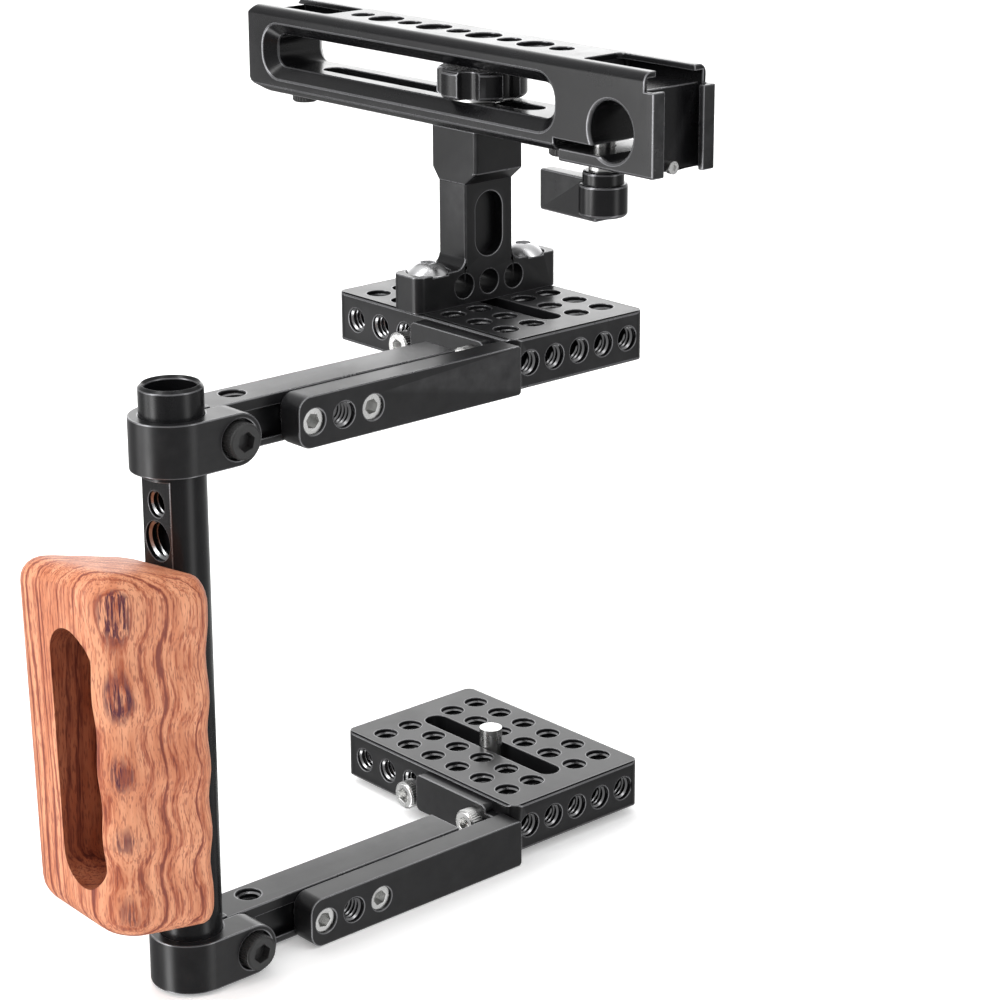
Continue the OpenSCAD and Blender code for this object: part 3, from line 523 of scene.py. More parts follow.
@dataclass(frozen=True)
class Hardwood(Finish):
    """Oiled reddish hardwood, sawn from a plank whose growth layers stand nearly upright.

    The layers follow each other in the direction across, in millimetres. The crest is where the
    dark heart of the plank shows, and it leans with the height above lean_from. A range holds the
    values at which a pattern begins and ends.
    """

    light: Colour = (0.64, 0.285, 0.158)
    mid: Colour = (0.45, 0.14, 0.07)
    dark: Colour = (0.22, 0.055, 0.036)
    heart: Colour = (0.085, 0.022, 0.034)
    cloud: Colour = (0.80, 0.66, 0.60)
    paler: float = 1.12
    tones: tuple[float, ...] = (0.30, 0.41, 0.51, 0.75)
    roughness: float = 0.5
    rougher: float = 0.16
    shine: float = 0.3
    across: tuple[float, float] = (-0.5, -0.866)
    crest: float = 33.75
    lean: float = 0.02
    lean_from: float = 100.0
    layers: float = 0.8
    start: float = 3.4
    sway: float = 4.0
    waver: float = 0.8
    stranded: float = 0.6
    sways: Pattern = Pattern(0.11, 2.0, 0.22)
    wavers: Pattern = Pattern(0.5, 1.0, 0.22)
    strands: Pattern = Pattern(1.5, 3.0, 0.07, 0.6)
    clouds: Pattern = Pattern(0.24, 2.0, 0.22)
    pores: Pattern = Pattern(2.6, 1.0, 0.16)
    cloud_range: tuple[float, float] = (0.40, 0.60)
    heart_range: tuple[float, float] = (-0.5, 0.1)
    streak_range: tuple[float, float] = (0.44, 0.54)
    pore_range: tuple[float, float] = (0.35, 0.46)
    pore_tint: float = 0.6
    pore_depth: float = 0.8
    bump: float = 0.3
    relief: float = 0.0001

    def rings(self, c: NodeCanvas, outward: bpy.types.NodeSocket, sway: bpy.types.NodeSocket,
              waver: bpy.types.NodeSocket) -> bpy.types.NodeSocket:
        """Draws the growth layers.

        Args:
            c: the material's canvas.
            outward: the distance along the direction across.
            sway: broad noise that bends the layers.
            waver: finer noise that ripples them.

        Returns:
            The layers' tone, from 0 to 1.
        """
        layer = c.vary(c.vary(outward, sway, self.sway), waver, self.waver)
        along = c.math("MULTIPLY_ADD", layer, self.layers, self.start)
        tone = c.add("TexNoise", {"W": along, "Scale": 1.0, "Detail": 3.0, "Roughness": 0.62},
                     noise_dimensions="1D")
        return tone.outputs["Fac"]

    def hearted(self, c: NodeCanvas, outward: bpy.types.NodeSocket, z: bpy.types.NodeSocket,
                waver: bpy.types.NodeSocket, strand: bpy.types.NodeSocket) -> bpy.types.NodeSocket:
        """Draws where the dark heart shows.

        Args:
            c: the material's canvas.
            outward: the distance along the direction across.
            z: the height.
            waver: noise that ripples the heart's border.
            strand: fine noise that breaks the heart up into streaks.

        Returns:
            The heart's share, from 0 to 1.
        """
        raised = c.math("SUBTRACT", z, self.lean_from)
        leaning = c.math("MULTIPLY_ADD", raised, -self.lean, outward)
        near = c.math("SUBTRACT", c.vary(leaning, waver, self.waver), self.crest)
        shown = c.add("MapRange", {"Value": near, "From Min": self.heart_range[0],
                                   "From Max": self.heart_range[1]}).outputs["Result"]
        streaks = c.ramp(strand, list(zip(self.streak_range, (0.0, 1.0))))
        return c.math("MULTIPLY", shown, streaks)

    def paint(self, c: NodeCanvas, shader: bpy.types.Node) -> None:
        """Draws the growth layers, the dark heart streaks and the pores.

        Args:
            c: the material's canvas.
            shader: its shader.
        """
        tree = c.tree
        place = c.add("VectorMath", {0: c.add("TexCoord").outputs["Object"], "Scale": 1 / MM},
                      operation="SCALE").outputs[0]
        apart = c.add("SeparateXYZ", {"Vector": place})
        x, y, z = (apart.outputs[k] for k in "XYZ")
        outward = c.math("ADD", c.math("MULTIPLY", x, self.across[0]),
                         c.math("MULTIPLY", y, self.across[1]))
        waver = self.wavers.draw(c, place)
        strand = self.strands.draw(c, place)

        rings = self.rings(c, outward, self.sways.draw(c, place), waver)
        pale = tuple(min(1.0, v * self.paler) for v in self.light)
        base = c.ramp(c.vary(rings, strand, self.stranded),
                      list(zip(self.tones, (self.dark, self.mid, self.light, pale))))
        cloud = c.ramp(self.clouds.draw(c, place), list(zip(self.cloud_range, (self.cloud, 1.0))))
        clouded = c.mix(1.0, base, cloud, "MULTIPLY")
        veined = c.mix(self.hearted(c, outward, z, waver, strand), clouded, self.heart)
        pits = c.ramp(self.pores.draw(c, place), list(zip(self.pore_range, (1.0, 0.0))))
        pitted = c.mix(c.math("MULTIPLY", pits, self.pore_tint), veined, self.dark)
        tree.links.new(pitted, shader.inputs["Base Color"])

        shader.inputs["Specular IOR Level"].default_value = self.shine
        rough = c.vary(self.roughness, strand, self.rougher)
        tree.links.new(rough, shader.inputs["Roughness"])
        height = c.math("SUBTRACT", strand, c.math("MULTIPLY", pits, self.pore_depth))
        bump = c.add("Bump", {"Strength": self.bump, "Distance": self.relief, "Height": height})
        tree.links.new(bump.outputs[0], shader.inputs["Normal"])


@dataclass(frozen=True)
class StudioFloor(Finish):
    """Plain pale floor; the lift is the light that it gives off itself."""

    colour: Colour = (0.93, 0.93, 0.93)
    lift: float = 0.24
    roughness: float = 0.9
    shine: float = 0.1

    def paint(self, c: NodeCanvas, shader: bpy.types.Node) -> None:
        """Sets the floor's even colour.

        Args:
            c: the material's canvas, which stays empty.
            shader: its shader.
        """
        shader.inputs["Base Color"].default_value = (*self.colour, 1.0)
        shader.inputs["Roughness"].default_value = self.roughness
        shader.inputs["Emission Color"].default_value = (1.0, 1.0, 1.0, 1.0)
        shader.inputs["Emission Strength"].default_value = self.lift
        shader.inputs["Specular IOR Level"].default_value = self.shine


# Lighter grey finish of the bevel faces: part bared metal at the edges, part painted edge
# highlight.
RUBBED_EDGE_AND_HIGHLIGHT = Anodised("rubbed_edge_and_highlight", Slot.ANODISED, colour=(0.12, 0.12, 0.125), roughness=0.25,
                       grain=0.05, wear_and_highlight=0.0, shine=0.5, metal=0.7)
ANODISED = Anodised("satin_anodised", Slot.ANODISED, RUBBED_EDGE_AND_HIGHLIGHT)
SMOOTH_ANODISED = Anodised("smooth_anodised", Slot.ANODISED, RUBBED_EDGE_AND_HIGHLIGHT, roughness=0.23,
                           grain=0.12)
THREADED = Anodised("anodised_thread", Slot.ANODISED, colour=(0.24, 0.24, 0.245), roughness=0.2,
                    grain=0.03, wear_and_highlight=0.0, metal=1.0)
OXIDE = Plated("black_oxide", Slot.OXIDE, colour=(0.21, 0.21, 0.212), roughness=0.3)
CHROME = Plated("polished_chrome", Slot.BRIGHT, colour=(0.82, 0.82, 0.83), roughness=0.25,
                marks=0.08)
ZINC = Plated("bright_zinc", Slot.BRIGHT, colour=(0.78, 0.78, 0.77), roughness=0.24)
WOOD = Hardwood("oiled_hardwood", Slot.WOOD)
# Darker wood for the grip's pocket: part the milled, oiled surface, part painted shade of the
# recess.
MILLED_SHADED_WOOD = Hardwood("milled_shaded_hardwood", Slot.WOOD, light=(0.30, 0.095, 0.045),
                       mid=(0.22, 0.06, 0.03), dark=(0.09, 0.02, 0.012), roughness=0.6)
FLOOR = StudioFloor("studio_floor")


# ------------------------------------------------------------------ mesh helpers


def new_object(name: str, bm: bmesh.types.BMesh, finish: Finish) -> bpy.types.Object:
    """Turns a bmesh into an object with one finish.

    Args:
        name: the object's name.
        bm: its mesh, which is freed.
        finish: its finish.

    Returns:
        The linked object.
    """
    mesh = bpy.data.meshes.new(name)
    bm.to_mesh(mesh)
    bm.free()
    mesh.materials.append(finish.material())
    thing = bpy.data.objects.new(name, mesh)
    bpy.context.scene.collection.objects.link(thing)
    return thing


def smooth_by_angle(thing: bpy.types.Object, degrees: float) -> None:
    """Shades smooth except across edges sharper than an angle.

    Args:
        thing: the object.
        degrees: the limit.
    """
    thing.data.shade_smooth()
    bm = bmesh.new()
    bm.from_mesh(thing.data)
    for edge in bm.edges:
        if len(edge.link_faces) == 2:
            edge.smooth = edge.calc_face_angle(0.0) < math.radians(degrees)
    bm.to_mesh(thing.data)
    bm.free()


def welded(node: str) -> bmesh.types.BMesh:
    """Copies a CAD node's mesh with its doubled corners joined.

    Args:
        node: the CAD node.

    Returns:
        The copy.
    """
    bm = bmesh.new()
    bm.from_mesh(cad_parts[node].data)
    bmesh.ops.remove_doubles(bm, verts=bm.verts, dist=WELD)
    return bm


def islands(bm: bmesh.types.BMesh) -> list[list[Vector]]:
    """Lists the points of each separate piece of a mesh.

    Args:
        bm: the mesh.

    Returns:
        One list of points for each piece.
    """
    left = set(bm.verts)
    found = []
    while left:
        reached = [left.pop()]
        points = []
        while reached:
            vert = reached.pop()
            points.append(vert.co.copy())
            for link in vert.link_edges:
                other = link.other_vert(vert)
                if other in left:
                    left.remove(other)
                    reached.append(other)
        found.append(points)
    return found


@dataclass(frozen=True)
class Dressed:
    """A CAD node's stand-in: its body, its finish, and its broken edges in millimetres.

    Only the outer edges are broken where the finish has a rim. The angles are in degrees.
    """

    node: str
    body: str
    finish: Finish
    edge: float
    facets: int = 2
    level_angle: float = 0.4
    sharp_angle: float = 28.0
    smooth_angle: float = 40.0
    rounding: float = 0.6
    face_weight: int = 100

    def build(self) -> bpy.types.Object:
        """Copies the CAD node, breaks its sharp edges and lets the copy stand for it.

        Returns:
            The new piece.
        """
        rim = self.finish.rim
        bm = welded(self.node)
        bmesh.ops.dissolve_limit(bm, angle_limit=math.radians(self.level_angle), verts=bm.verts,
                                 edges=bm.edges)
        sharp = [e for e in bm.edges if len(e.link_faces) == 2
                 and e.calc_face_angle(0.0) > math.radians(self.sharp_angle)
                 and (e.is_convex or rim is None)]
        # Bevel faces take the finish's lighter rim: part bared edge metal, part painted edge
        # highlight.
        bmesh.ops.bevel(bm, geom=sharp, offset=self.edge * MM, offset_type="OFFSET",
                        segments=self.facets, profile=self.rounding, affect="EDGES",
                        clamp_overlap=rim is None, loop_slide=False, material=1 if rim else -1)
        piece = new_object(f"{self.node}_dressed", bm, self.finish)
        if rim:
            piece.data.materials.append(rim.material())
        smooth_by_angle(piece, self.smooth_angle)
        level = piece.modifiers.new("level_faces", "WEIGHTED_NORMAL")
        level.keep_sharp, level.weight = True, self.face_weight
        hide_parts(self.node)
        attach(piece, self.body)
        return piece


@dataclass(frozen=True)
class Hole:
    """A threaded hole: the middle of its mouth in metres and its depth in millimetres."""

    mouth: Vector
    opens: Axis
    depth: float
    thread: Thread = Thread.QUARTER_INCH


@dataclass(frozen=True)
class ThreadForm:
    """Raised turns of a thread.

    The ridge's foot, crest, top, height and width are shares of the pitch. The gap is left free
    at both ends of the hole, and sunk is how far the ridge reaches into the wall, in millimetres.
    At its ends the ridge grows from thinnest to its full height over run_out steps.
    """

    foot: float = 0.16
    crest: tuple[float, float] = (0.42, 0.50)
    top: float = 0.76
    height: float = 0.42
    width: float = 0.60
    gap: float = 0.14
    sunk: float = 0.02
    steps: int = 28
    fewest: int = 8
    run_out: int = 7
    thinnest: float = 0.03
    smooth_angle: float = 35.0

    def add_turns(self, bm: bmesh.types.BMesh, hole: Hole) -> None:
        """Adds the helical ridge of a thread inside a hole.

        Args:
            bm: the mesh that it goes into.
            hole: the hole.
        """
        pitch = hole.thread.pitch
        turns = (hole.depth - 2 * self.gap - pitch * self.width) / pitch
        count = max(self.fewest, int(turns * self.steps))
        place = hole.opens.stand(hole.mouth)
        outer = hole.thread.radius + self.sunk
        inner = hole.thread.radius - self.height * pitch
        section = ((outer, pitch * self.foot), (inner, pitch * self.crest[0]),
                   (inner, pitch * self.crest[1]), (outer, pitch * self.top))
        rings: list[list[bmesh.types.BMVert]] = []
        for k in range(count + 1):
            angle = 2 * math.pi * k / self.steps
            down = -self.gap - pitch * self.top - pitch * k / self.steps
            full = max(self.thinnest, min(1.0, k / self.run_out, (count - k) / self.run_out))
            ring = []
            for radius, rise in section:
                r = outer + (radius - outer) * full
                point = Vector((r * math.cos(angle), r * math.sin(angle), down + rise))
                ring.append(bm.verts.new(place @ point))
            rings.append(ring)
        sides = len(section)
        for a, b in zip(rings, rings[1:]):
            for i in range(sides):
                j = (i + 1) % sides
                bm.faces.new((a[i], b[i], b[j], a[j]))
        bm.faces.new(rings[0])
        bm.faces.new(reversed(rings[-1]))

    def build(self, name: str, holes: Iterable[Hole], body: str) -> bpy.types.Object:
        """Makes the visible threads of some holes as one piece.

        Args:
            name: the piece's name.
            holes: the holes.
            body: the body that it rides on.

        Returns:
            The piece.
        """
        bm = bmesh.new()
        for hole in holes:
            self.add_turns(bm, hole)
        bmesh.ops.recalc_face_normals(bm, faces=bm.faces)
        piece = new_object(name, bm, THREADED)
        smooth_by_angle(piece, self.smooth_angle)
        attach(piece, body)
        return piece


THREADS = ThreadForm()


@dataclass(frozen=True)
class Knurl:
    """Straight knurl round the heads of a node's cap screws; lengths are in millimetres.

    The heads are the heights of the screws' heads, from the lowest screw up. The flanks are the
    start, the crest and the end of a ridge, as shares of its width.
    """

    node: str
    body: str
    finish: Finish
    opens: Axis
    heads: tuple[float, ...]
    ridges: int = 36
    proud: float = 0.12
    sunk: float = 0.06
    flanks: tuple[float, float, float] = (0.06, 0.5, 0.94)
    plain_top: float = 0.45
    plain_foot: float = 0.3

    def add_ridges(self, bm: bmesh.types.BMesh, points: list[Vector], head: float) -> None:
        """Adds the ridges of one screw's head.

        Args:
            bm: the mesh that they go into.
            points: the screw's points.
            head: height of its head.
        """
        low = Vector([min(p[k] for p in points) for k in range(3)])
        high = Vector([max(p[k] for p in points) for k in range(3)])
        way = self.opens.vector
        top = (low + high) / 2
        for k in range(3):
            if way[k]:
                top[k] = high[k] if way[k] > 0 else low[k]
        wide = max((high - low)[k] for k in range(3) if not way[k]) / 2 / MM
        place = self.opens.stand(top)
        reach = (wide - self.sunk, wide + self.proud, wide - self.sunk)
        levels = (-self.plain_top, self.plain_foot - head)
        for k in range(self.ridges):
            turns = [2 * math.pi * (k + flank) / self.ridges for flank in self.flanks]
            upper, lower = ([bm.verts.new(place @ Vector((r * math.cos(a), r * math.sin(a), z)))
                             for a, r in zip(turns, reach)] for z in levels)
            bm.faces.new(upper)
            bm.faces.new(reversed(lower))
            for i in range(3):
                j = (i + 1) % 3
                bm.faces.new((upper[i], lower[i], lower[j], upper[j]))

    def build(self) -> bpy.types.Object:
        """Makes the ridges of all heads as one piece.

        Returns:
            The piece.
        """
        source = welded(self.node)
        screws = sorted(islands(source),
                        key=lambda g: (round(min(p.z for p in g), 4), min(p.y for p in g)))
        source.free()
        bm = bmesh.new()
        for points, head in zip(screws, self.heads):
            self.add_ridges(bm, points, head)
        bmesh.ops.recalc_face_normals(bm, faces=bm.faces)
        piece = new_object(f"{self.node}_knurl", bm, self.finish)
        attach(piece, self.body)
        return piece


@dataclass(frozen=True)
class Span:
    """Box in millimetres that picks out the faces of a recess."""

    low: tuple[float, float, float]
    high: tuple[float, float, float]

    def paint(self, piece: bpy.types.Object, finish: Finish) -> None:
        """Gives the piece's faces inside the box another finish.

        Args:
            piece: the piece.
            finish: the finish.
        """
        piece.data.materials.append(finish.material())
        for face in piece.data.polygons:
            at = face.center / MM
            if all(a < v < b for a, v, b in zip(self.low, at, self.high)):
                face.material_index = len(piece.data.materials) - 1


# ------------------------------------------------------------------ sub-assemblies


@dataclass
class HolePlate:
    """Plate with its grid of threaded holes and a row in each edge; lengths in millimetres.

    Covered are the holes of the grid, by column and row, that lie under the stem's foot, and
    plugged are those of the near side that a screw fills or the rail hides.
    """

    node: str
    body: str
    covered: tuple[tuple[int, int], ...] = ()
    plugged: tuple[int, ...] = (0, 1, 2)
    columns: tuple[float, ...] = (-16.6, -7.8, 7.8, 16.6)
    rows: int = 6
    first_row: float = 9.9
    row_pitch: float = 10.0
    end_holes: int = 5
    end_first: float = 5.5
    end_pitch: float = 8.5
    side_holes: int = 6
    side_first: float = 11.9
    side_pitch: float = 9.9
    side_depth: float = 5.0
    edge: float = 0.28

    def grid(self) -> list[Hole]:
        """Lists the holes that go through the plate.

        Returns:
            The holes.
        """
        low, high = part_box(self.node)
        middle = (low + high) / 2
        found = []
        for c, x in enumerate(self.columns):
            for r in range(self.rows):
                if (c, r) not in self.covered:
                    y = low.y + (self.first_row + r * self.row_pitch) * MM
                    found.append(Hole(Vector((middle.x + x * MM, y, high.z)), Axis.UP,
                                      (high.z - low.z) / MM))
        return found

    def borders(self) -> list[Hole]:
        """Lists the blind holes in the plate's edges.

        Returns:
            The holes.
        """
        low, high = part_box(self.node)
        middle = (low + high) / 2
        mouths = []
        for k in range(self.end_holes):
            along = (self.end_first + k * self.end_pitch) * MM
            mouths += [(low.x + along, low.y, Axis.FRONT), (high.x - along, high.y, Axis.BACK)]
        for k in range(self.side_holes):
            along = (self.side_first + k * self.side_pitch) * MM
            mouths.append((high.x, high.y - along, Axis.RIGHT))
            if k not in self.plugged:
                mouths.append((low.x, low.y + along, Axis.LEFT))
        return [Hole(Vector((x, y, middle.z)), opens, self.side_depth) for x, y, opens in mouths]

    def build(self) -> list[bpy.types.Object]:
        """Builds the plate and its threads."""
        return [Dressed(self.node, self.body, ANODISED, self.edge).build(),
                THREADS.build(f"{self.node}_threads", self.grid() + self.borders(), self.body)]


@dataclass
class SideRail:
    """Rail with an open threaded hole between its two set screws; lengths in millimetres."""

    node: str
    screws: str
    body: str
    hole_x: float = 13.4
    depth: float = 9.0
    edge: float = 0.3
    screw_edge: float = 0.12

    def build(self) -> list[bpy.types.Object]:
        """Builds the rail, its thread and its screws.

        Returns:
            The pieces.
        """
        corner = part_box(self.node)[0]
        low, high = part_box(self.screws)
        mouth = Vector((corner.x + self.hole_x * MM, corner.y, (low.z + high.z) / 2))
        hole = Hole(mouth, Axis.FRONT, self.depth)
        return [Dressed(self.node, self.body, ANODISED, self.edge).build(),
                THREADS.build(f"{self.node}_threads", [hole], self.body),
                Dressed(self.screws, self.body, ZINC, self.screw_edge).build()]


@dataclass
class SplitArm:
    """Split collar with its bar, clamp bolt and washer; lengths in millimetres."""

    node: str
    bolt: str
    washer: str
    body: str
    hole: tuple[float, float] = (21.0, 5.475)
    drop: float = 0.5
    depth: float = 12.0
    edge: float = 0.35
    bolt_edge: float = 0.2
    bolt_head: float = 4.2
    washer_edge: float = 0.1

    def build(self) -> list[bpy.types.Object]:
        """Builds the arm, its accessory thread, its bolt and its washer.

        Returns:
            The pieces.
        """
        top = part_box(self.node)[1].z
        x, y = self.hole
        hole = Hole(Vector((x * MM, y * MM, top - self.drop * MM)), Axis.UP, self.depth)
        return [Dressed(self.node, self.body, ANODISED, self.edge).build(),
                THREADS.build(f"{self.node}_thread", [hole], self.body),
                Dressed(self.bolt, self.body, OXIDE, self.bolt_edge).build(),
                Knurl(self.bolt, self.body, OXIDE, Axis.FRONT, (self.bolt_head,)).build(),
                Dressed(self.washer, self.body, OXIDE, self.washer_edge).build()]


@dataclass
class Column:
    """Side rod with its wooden grip; lengths in millimetres."""

    body: str = "column"
    flat: float = -5.1
    depth: float = 4.2
    quarter_z: float = 119.8
    large_z: float = 111.0
    # Faces inside this box, the pocket, are painted darker: part milled surface, part painted
    # recess shade.
    pocket: Span = Span((-33.0, -16.5, 37.0), (-20.3, -1.7, 101.0))
    rod_edge: float = 0.2
    grip_edge: float = 0.8
    grip_facets: int = 3
    screw_edge: float = 0.2

    def build(self) -> list[bpy.types.Object]:
        """Builds the rod, the threads in its flat, the grip and its screws.

        Returns:
            The pieces.
        """
        holes = [Hole(Vector((self.flat * MM, 0, z * MM)), Axis.LEFT, self.depth, thread)
                 for z, thread in ((self.quarter_z, Thread.QUARTER_INCH),
                                   (self.large_z, Thread.THREE_EIGHTHS))]
        rod = Dressed("side_rod", self.body, SMOOTH_ANODISED, self.rod_edge).build()
        grip = Dressed("wood_grip", self.body, WOOD, self.grip_edge, self.grip_facets).build()
        # The pocket is painted darker: part milled wood, part painted shade.
        self.pocket.paint(grip, MILLED_SHADED_WOOD)
        return [rod, THREADS.build("side_rod_threads", holes, self.body), grip,
                Dressed("grip_screws", self.body, OXIDE, self.screw_edge).build()]


@dataclass
class Stem:
    """Stem between the upper plate and the handle, with its screws and stud."""

    body: str = "top"
    edge: float = 0.3
    screw_edge: float = 0.15
    stud_edge: float = 0.2

    def build(self) -> list[bpy.types.Object]:
        """Builds the stem, its button-head screws and the stud.

        Returns:
            The pieces.
        """
        return [Dressed("stem", self.body, ANODISED, self.edge).build(),
                Dressed("stem_screws", self.body, CHROME, self.screw_edge).build(),
                Dressed("handle_stud", self.body, ZINC, self.stud_edge).build()]


@dataclass
class TopHandle:
    """Top handle with its threads and stop screws; lengths in millimetres."""

    body: str = "handle"
    holes: int = 9
    first: float = 42.4
    pitch: float = 9.7
    wall: float = 7.2
    edge: float = 0.35
    screw_edge: float = 0.2
    screw_heads: tuple[float, float] = (3.3, 3.3)
    screw_ridges: int = 30
    shoe_screw_edge: float = 0.1

    def build(self) -> list[bpy.types.Object]:
        """Builds the handle body, its threads and its small screws.

        Returns:
            The pieces.
        """
        low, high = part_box("top_handle")
        x = (low.x + high.x) / 2
        holes = []
        for k in range(self.holes):
            mouth = Vector((x, low.y + (self.first + k * self.pitch) * MM, high.z))
            thread = Thread.THREE_EIGHTHS if k % 2 else Thread.QUARTER_INCH
            holes.append(Hole(mouth, Axis.UP, self.wall, thread))
        return [Dressed("top_handle", self.body, SMOOTH_ANODISED, self.edge).build(),
                THREADS.build("top_handle_threads", holes, self.body),
                Dressed("handle_stop_screws", self.body, OXIDE, self.screw_edge).build(),
                Knurl("handle_stop_screws", self.body, OXIDE, Axis.DOWN, self.screw_heads,
                      self.screw_ridges).build(),
                Dressed("shoe_stop_screw", self.body, ZINC, self.shoe_screw_edge).build()]


@dataclass
class Controls:
    """What the user turns by hand: thumb nut, clamp lever and camera screw."""

    pieces: tuple[Dressed, ...] = (
        Dressed("slot_nut", "slot_nut", SMOOTH_ANODISED, 0.3),
        Dressed("slot_washer", "slot_nut", ZINC, 0.15),
        Dressed("clamp_lever", "clamp_lever", SMOOTH_ANODISED, 0.4),
        Dressed("clamp_bolt", "clamp_lever", ZINC, 0.2),
        Dressed("clamp_bush", "clamp_lever", ZINC, 0.2),
        Dressed("camera_screw", "camera_screw", ZINC, 0.2),
    )

    def build(self) -> list[bpy.types.Object]:
        """Builds the pieces in order."""
        return [piece.build() for piece in self.pieces]


@dataclass
class SideScrews:
    """Knurled cap screws in the near side of a plate; lengths in millimetres."""

    node: str
    body: str
    edge: float = 0.15
    heads: tuple[float, float] = (4.0, 3.7)

    def build(self) -> list[bpy.types.Object]:
        """Builds the screws and their knurl."""
        return [Dressed(self.node, self.body, ZINC, self.edge).build(),
                Knurl(self.node, self.body, ZINC, Axis.LEFT, self.heads).build()]


# ------------------------------------------------------------------ studio


def heading(azimuth: float, elevation: float) -> Vector:
    """Turns a compass direction into a vector.

    Args:
        azimuth: degrees from the back towards the right.
        elevation: degrees above the horizon.

    Returns:
        The unit vector.
    """
    a, e = math.radians(azimuth), math.radians(elevation)
    return Vector((math.sin(a) * math.cos(e), math.cos(a) * math.cos(e), math.sin(e)))


@dataclass(frozen=True)
class Glow:
    """Soft bright patch of the surroundings, which the metal mirrors; tall ones are strips."""

    azimuth: float
    elevation: float
    spread: float
    strength: float
    tall: bool = False

    def level(self, c: NodeCanvas, look: bpy.types.NodeSocket) -> bpy.types.NodeSocket:
        """Draws the patch.

        Args:
            c: the world's canvas.
            look: the direction that is looked at.

        Returns:
            The patch's brightness in that direction.
        """
        if self.tall:
            flat = c.add("VectorMath", {0: look, 1: (1.0, 1.0, 0.0)}, operation="MULTIPLY")
            look = c.add("VectorMath", {0: flat.outputs[0]}, operation="NORMALIZE").outputs[0]
        aim = heading(self.azimuth, 0.0 if self.tall else self.elevation)
        facing = c.add("VectorMath", {0: look, 1: aim}, operation="DOT_PRODUCT").outputs["Value"]
        fall = c.math("MULTIPLY", c.math("SUBTRACT", facing, 1.0), math.radians(self.spread) ** -2)
        return c.math("MULTIPLY", c.math("EXPONENT", fall), self.strength)


@dataclass
class Softbox:
    """One soft studio lamp, which the metal doesn't mirror; lengths in metres, power in watts."""

    name: str
    place: tuple[float, float, float]
    aim: tuple[float, float, float]
    size: tuple[float, float]
    power: float

    def build(self) -> None:
        """Builds the lamp."""
        lamp = bpy.data.lights.new(self.name, "AREA")
        lamp.shape = "RECTANGLE"
        lamp.size, lamp.size_y = self.size
        lamp.energy = self.power
        thing = bpy.data.objects.new(self.name, lamp)
        thing.location = self.place
        away = Vector(self.place) - Vector(self.aim)
        thing.rotation_euler = away.to_track_quat("Z", "Y").to_euler()
        thing.visible_camera = False
        thing.visible_glossy = False
        bpy.context.scene.collection.objects.link(thing)


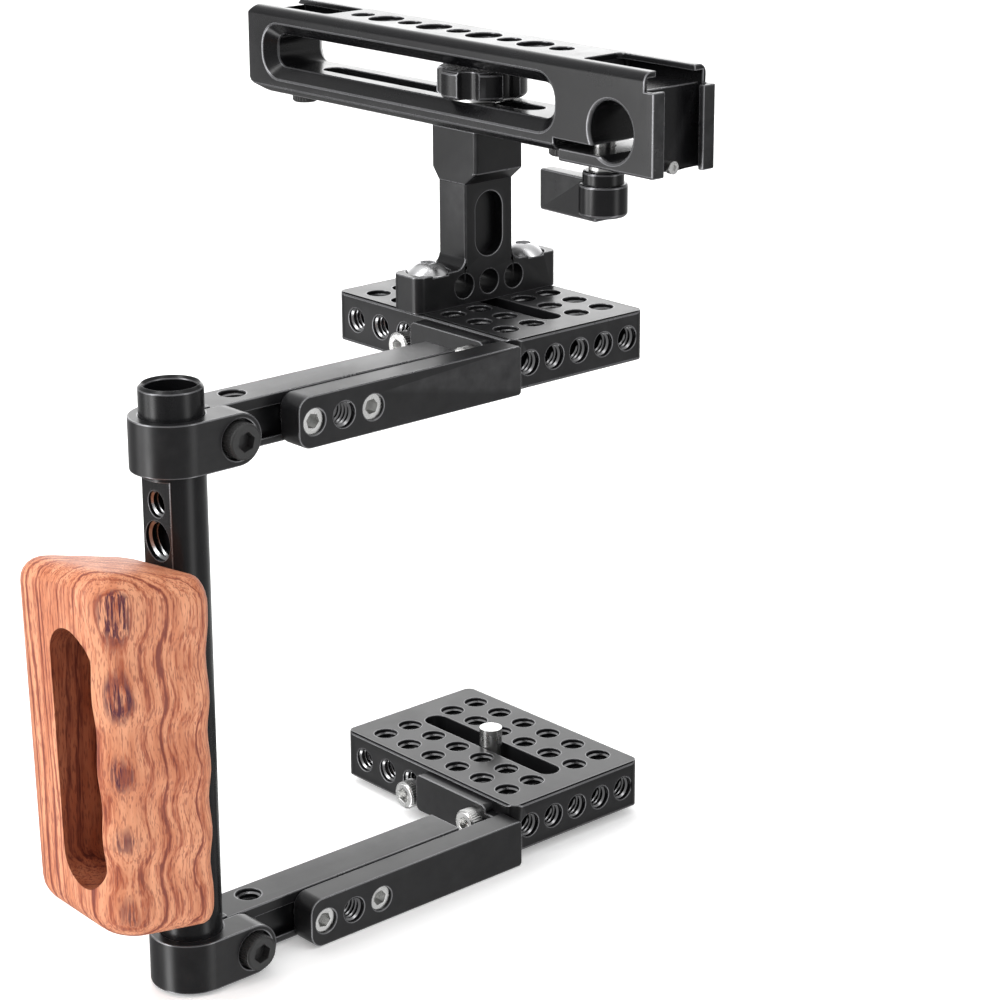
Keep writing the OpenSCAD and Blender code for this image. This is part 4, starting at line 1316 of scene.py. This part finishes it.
@dataclass
class Studio:
    """Camera, floor, world and lamps; places in metres, angles in degrees."""

    camera_place: tuple[float, float, float] = (-0.3409, -0.4904, 0.31744)
    azimuth: float = 41.9196
    elevation: float = -16.3916
    roll: float = -0.196
    sensor: float = 36.0
    focal: float = 98.928
    shift: tuple[float, float] = (0.0, -0.1)
    clip: tuple[float, float] = (0.05, 50.0)
    floor_low: tuple[float, float] = (-2.6, -0.5)
    floor_high: tuple[float, float] = (3.4, 4.6)
    floor_gap: float = 0.0002
    ambient: float = 0.3
    glows: tuple[Glow, ...] = (
        Glow(42.0, 12.0, 20.0, 2.6),
        Glow(0.0, 88.0, 45.0, 0.5),
        Glow(283.0, 0.0, 6.0, 9.0, True),
        Glow(158.0, 0.0, 7.0, 2.2, True),
        Glow(307.0, -9.0, 6.0, 7.0),
    )
    lamps: tuple[Softbox, ...] = (
        Softbox("top_panel", (0.1, 0.35, 1.3), (0.06, 0.05, 0.1), (1.3, 1.1), 6.5),
        Softbox("front_panel", (-0.7, -1.3, 0.9), (0.03, 0.0, 0.1), (0.8, 0.8), 4.0),
        Softbox("left_panel", (-1.4, 0.1, 0.7), (0.03, 0.0, 0.1), (0.6, 0.9), 2.0),
    )

    def camera(self) -> None:
        """Makes the camera."""
        data = bpy.data.cameras.new("view_camera")
        data.sensor_width = self.sensor
        data.lens = self.focal
        data.shift_x, data.shift_y = self.shift
        data.clip_start, data.clip_end = self.clip
        thing = bpy.data.objects.new("view_camera", data)
        look = heading(self.azimuth, self.elevation)
        turn = look.to_track_quat("-Z", "Y").to_matrix().to_4x4()
        roll = Matrix.Rotation(math.radians(self.roll), 4, "Z")
        thing.matrix_world = Matrix.Translation(Vector(self.camera_place)) @ turn @ roll
        bpy.context.scene.collection.objects.link(thing)
        bpy.context.scene.camera = thing

    def floor(self) -> None:
        """Makes the floor just under the cage's lowest face."""
        bm = bmesh.new()
        z = CAD_BOX[0].z - self.floor_gap
        (x0, y0), (x1, y1) = self.floor_low, self.floor_high
        corners = ((x0, y0), (x1, y0), (x1, y1), (x0, y1))
        bm.faces.new([bm.verts.new((x, y, z)) for x, y in corners])
        floor = new_object("studio_floor", bm, FLOOR)
        floor.visible_glossy = False

    def world(self) -> None:
        """Makes the white surroundings, with bright patches for the metal to mirror."""
        world = bpy.data.worlds.new("white_surroundings")
        world.use_nodes = True
        shade = world.node_tree.nodes["Background"]
        shade.inputs["Color"].default_value = (1.0, 1.0, 1.0, 1.0)
        c = NodeCanvas(world.node_tree)
        seen = c.add("LightPath").outputs["Is Camera Ray"]
        look = c.add("TexCoord").outputs["Generated"]
        level: float | bpy.types.NodeSocket = self.ambient
        for glow in self.glows:
            level = c.math("ADD", level, glow.level(c, look))
        unseen = c.math("MULTIPLY", level, c.math("SUBTRACT", 1.0, seen))
        world.node_tree.links.new(c.math("ADD", unseen, seen), shade.inputs["Strength"])
        bpy.context.scene.world = world

    def build(self) -> None:
        """Builds the whole studio."""
        self.camera()
        self.floor()
        self.world()
        for lamp in self.lamps:
            lamp.build()
        bpy.context.scene.view_settings.view_transform = "Standard"


def main() -> None:
    """Builds the studio and every sub-assembly, and logs each piece."""
    logging.basicConfig(level=logging.INFO, format="%(message)s")
    Studio().build()
    assemblies = [
        HolePlate("lower_plate", "base"),
        HolePlate("upper_plate", "top", covered=((0, 3), (3, 3))),
        SideRail("lower_rail", "lower_rail_screws", "base"),
        SideRail("upper_rail", "upper_rail_screws", "top"),
        SplitArm("lower_arm", "lower_clamp_bolt", "lower_clamp_washer", "lower_arm"),
        SplitArm("upper_arm", "upper_clamp_bolt", "upper_clamp_washer", "upper_arm"),
        Column(),
        Stem(),
        TopHandle(),
        Controls(),
        SideScrews("lower_side_screws", "base"),
        SideScrews("upper_side_screws", "top"),
    ]
    for assembly in assemblies:
        for piece in assembly.build():
            LOG.info("piece %s: %d faces", piece.name, len(piece.data.polygons))


if __name__ == "__main__":
    main()
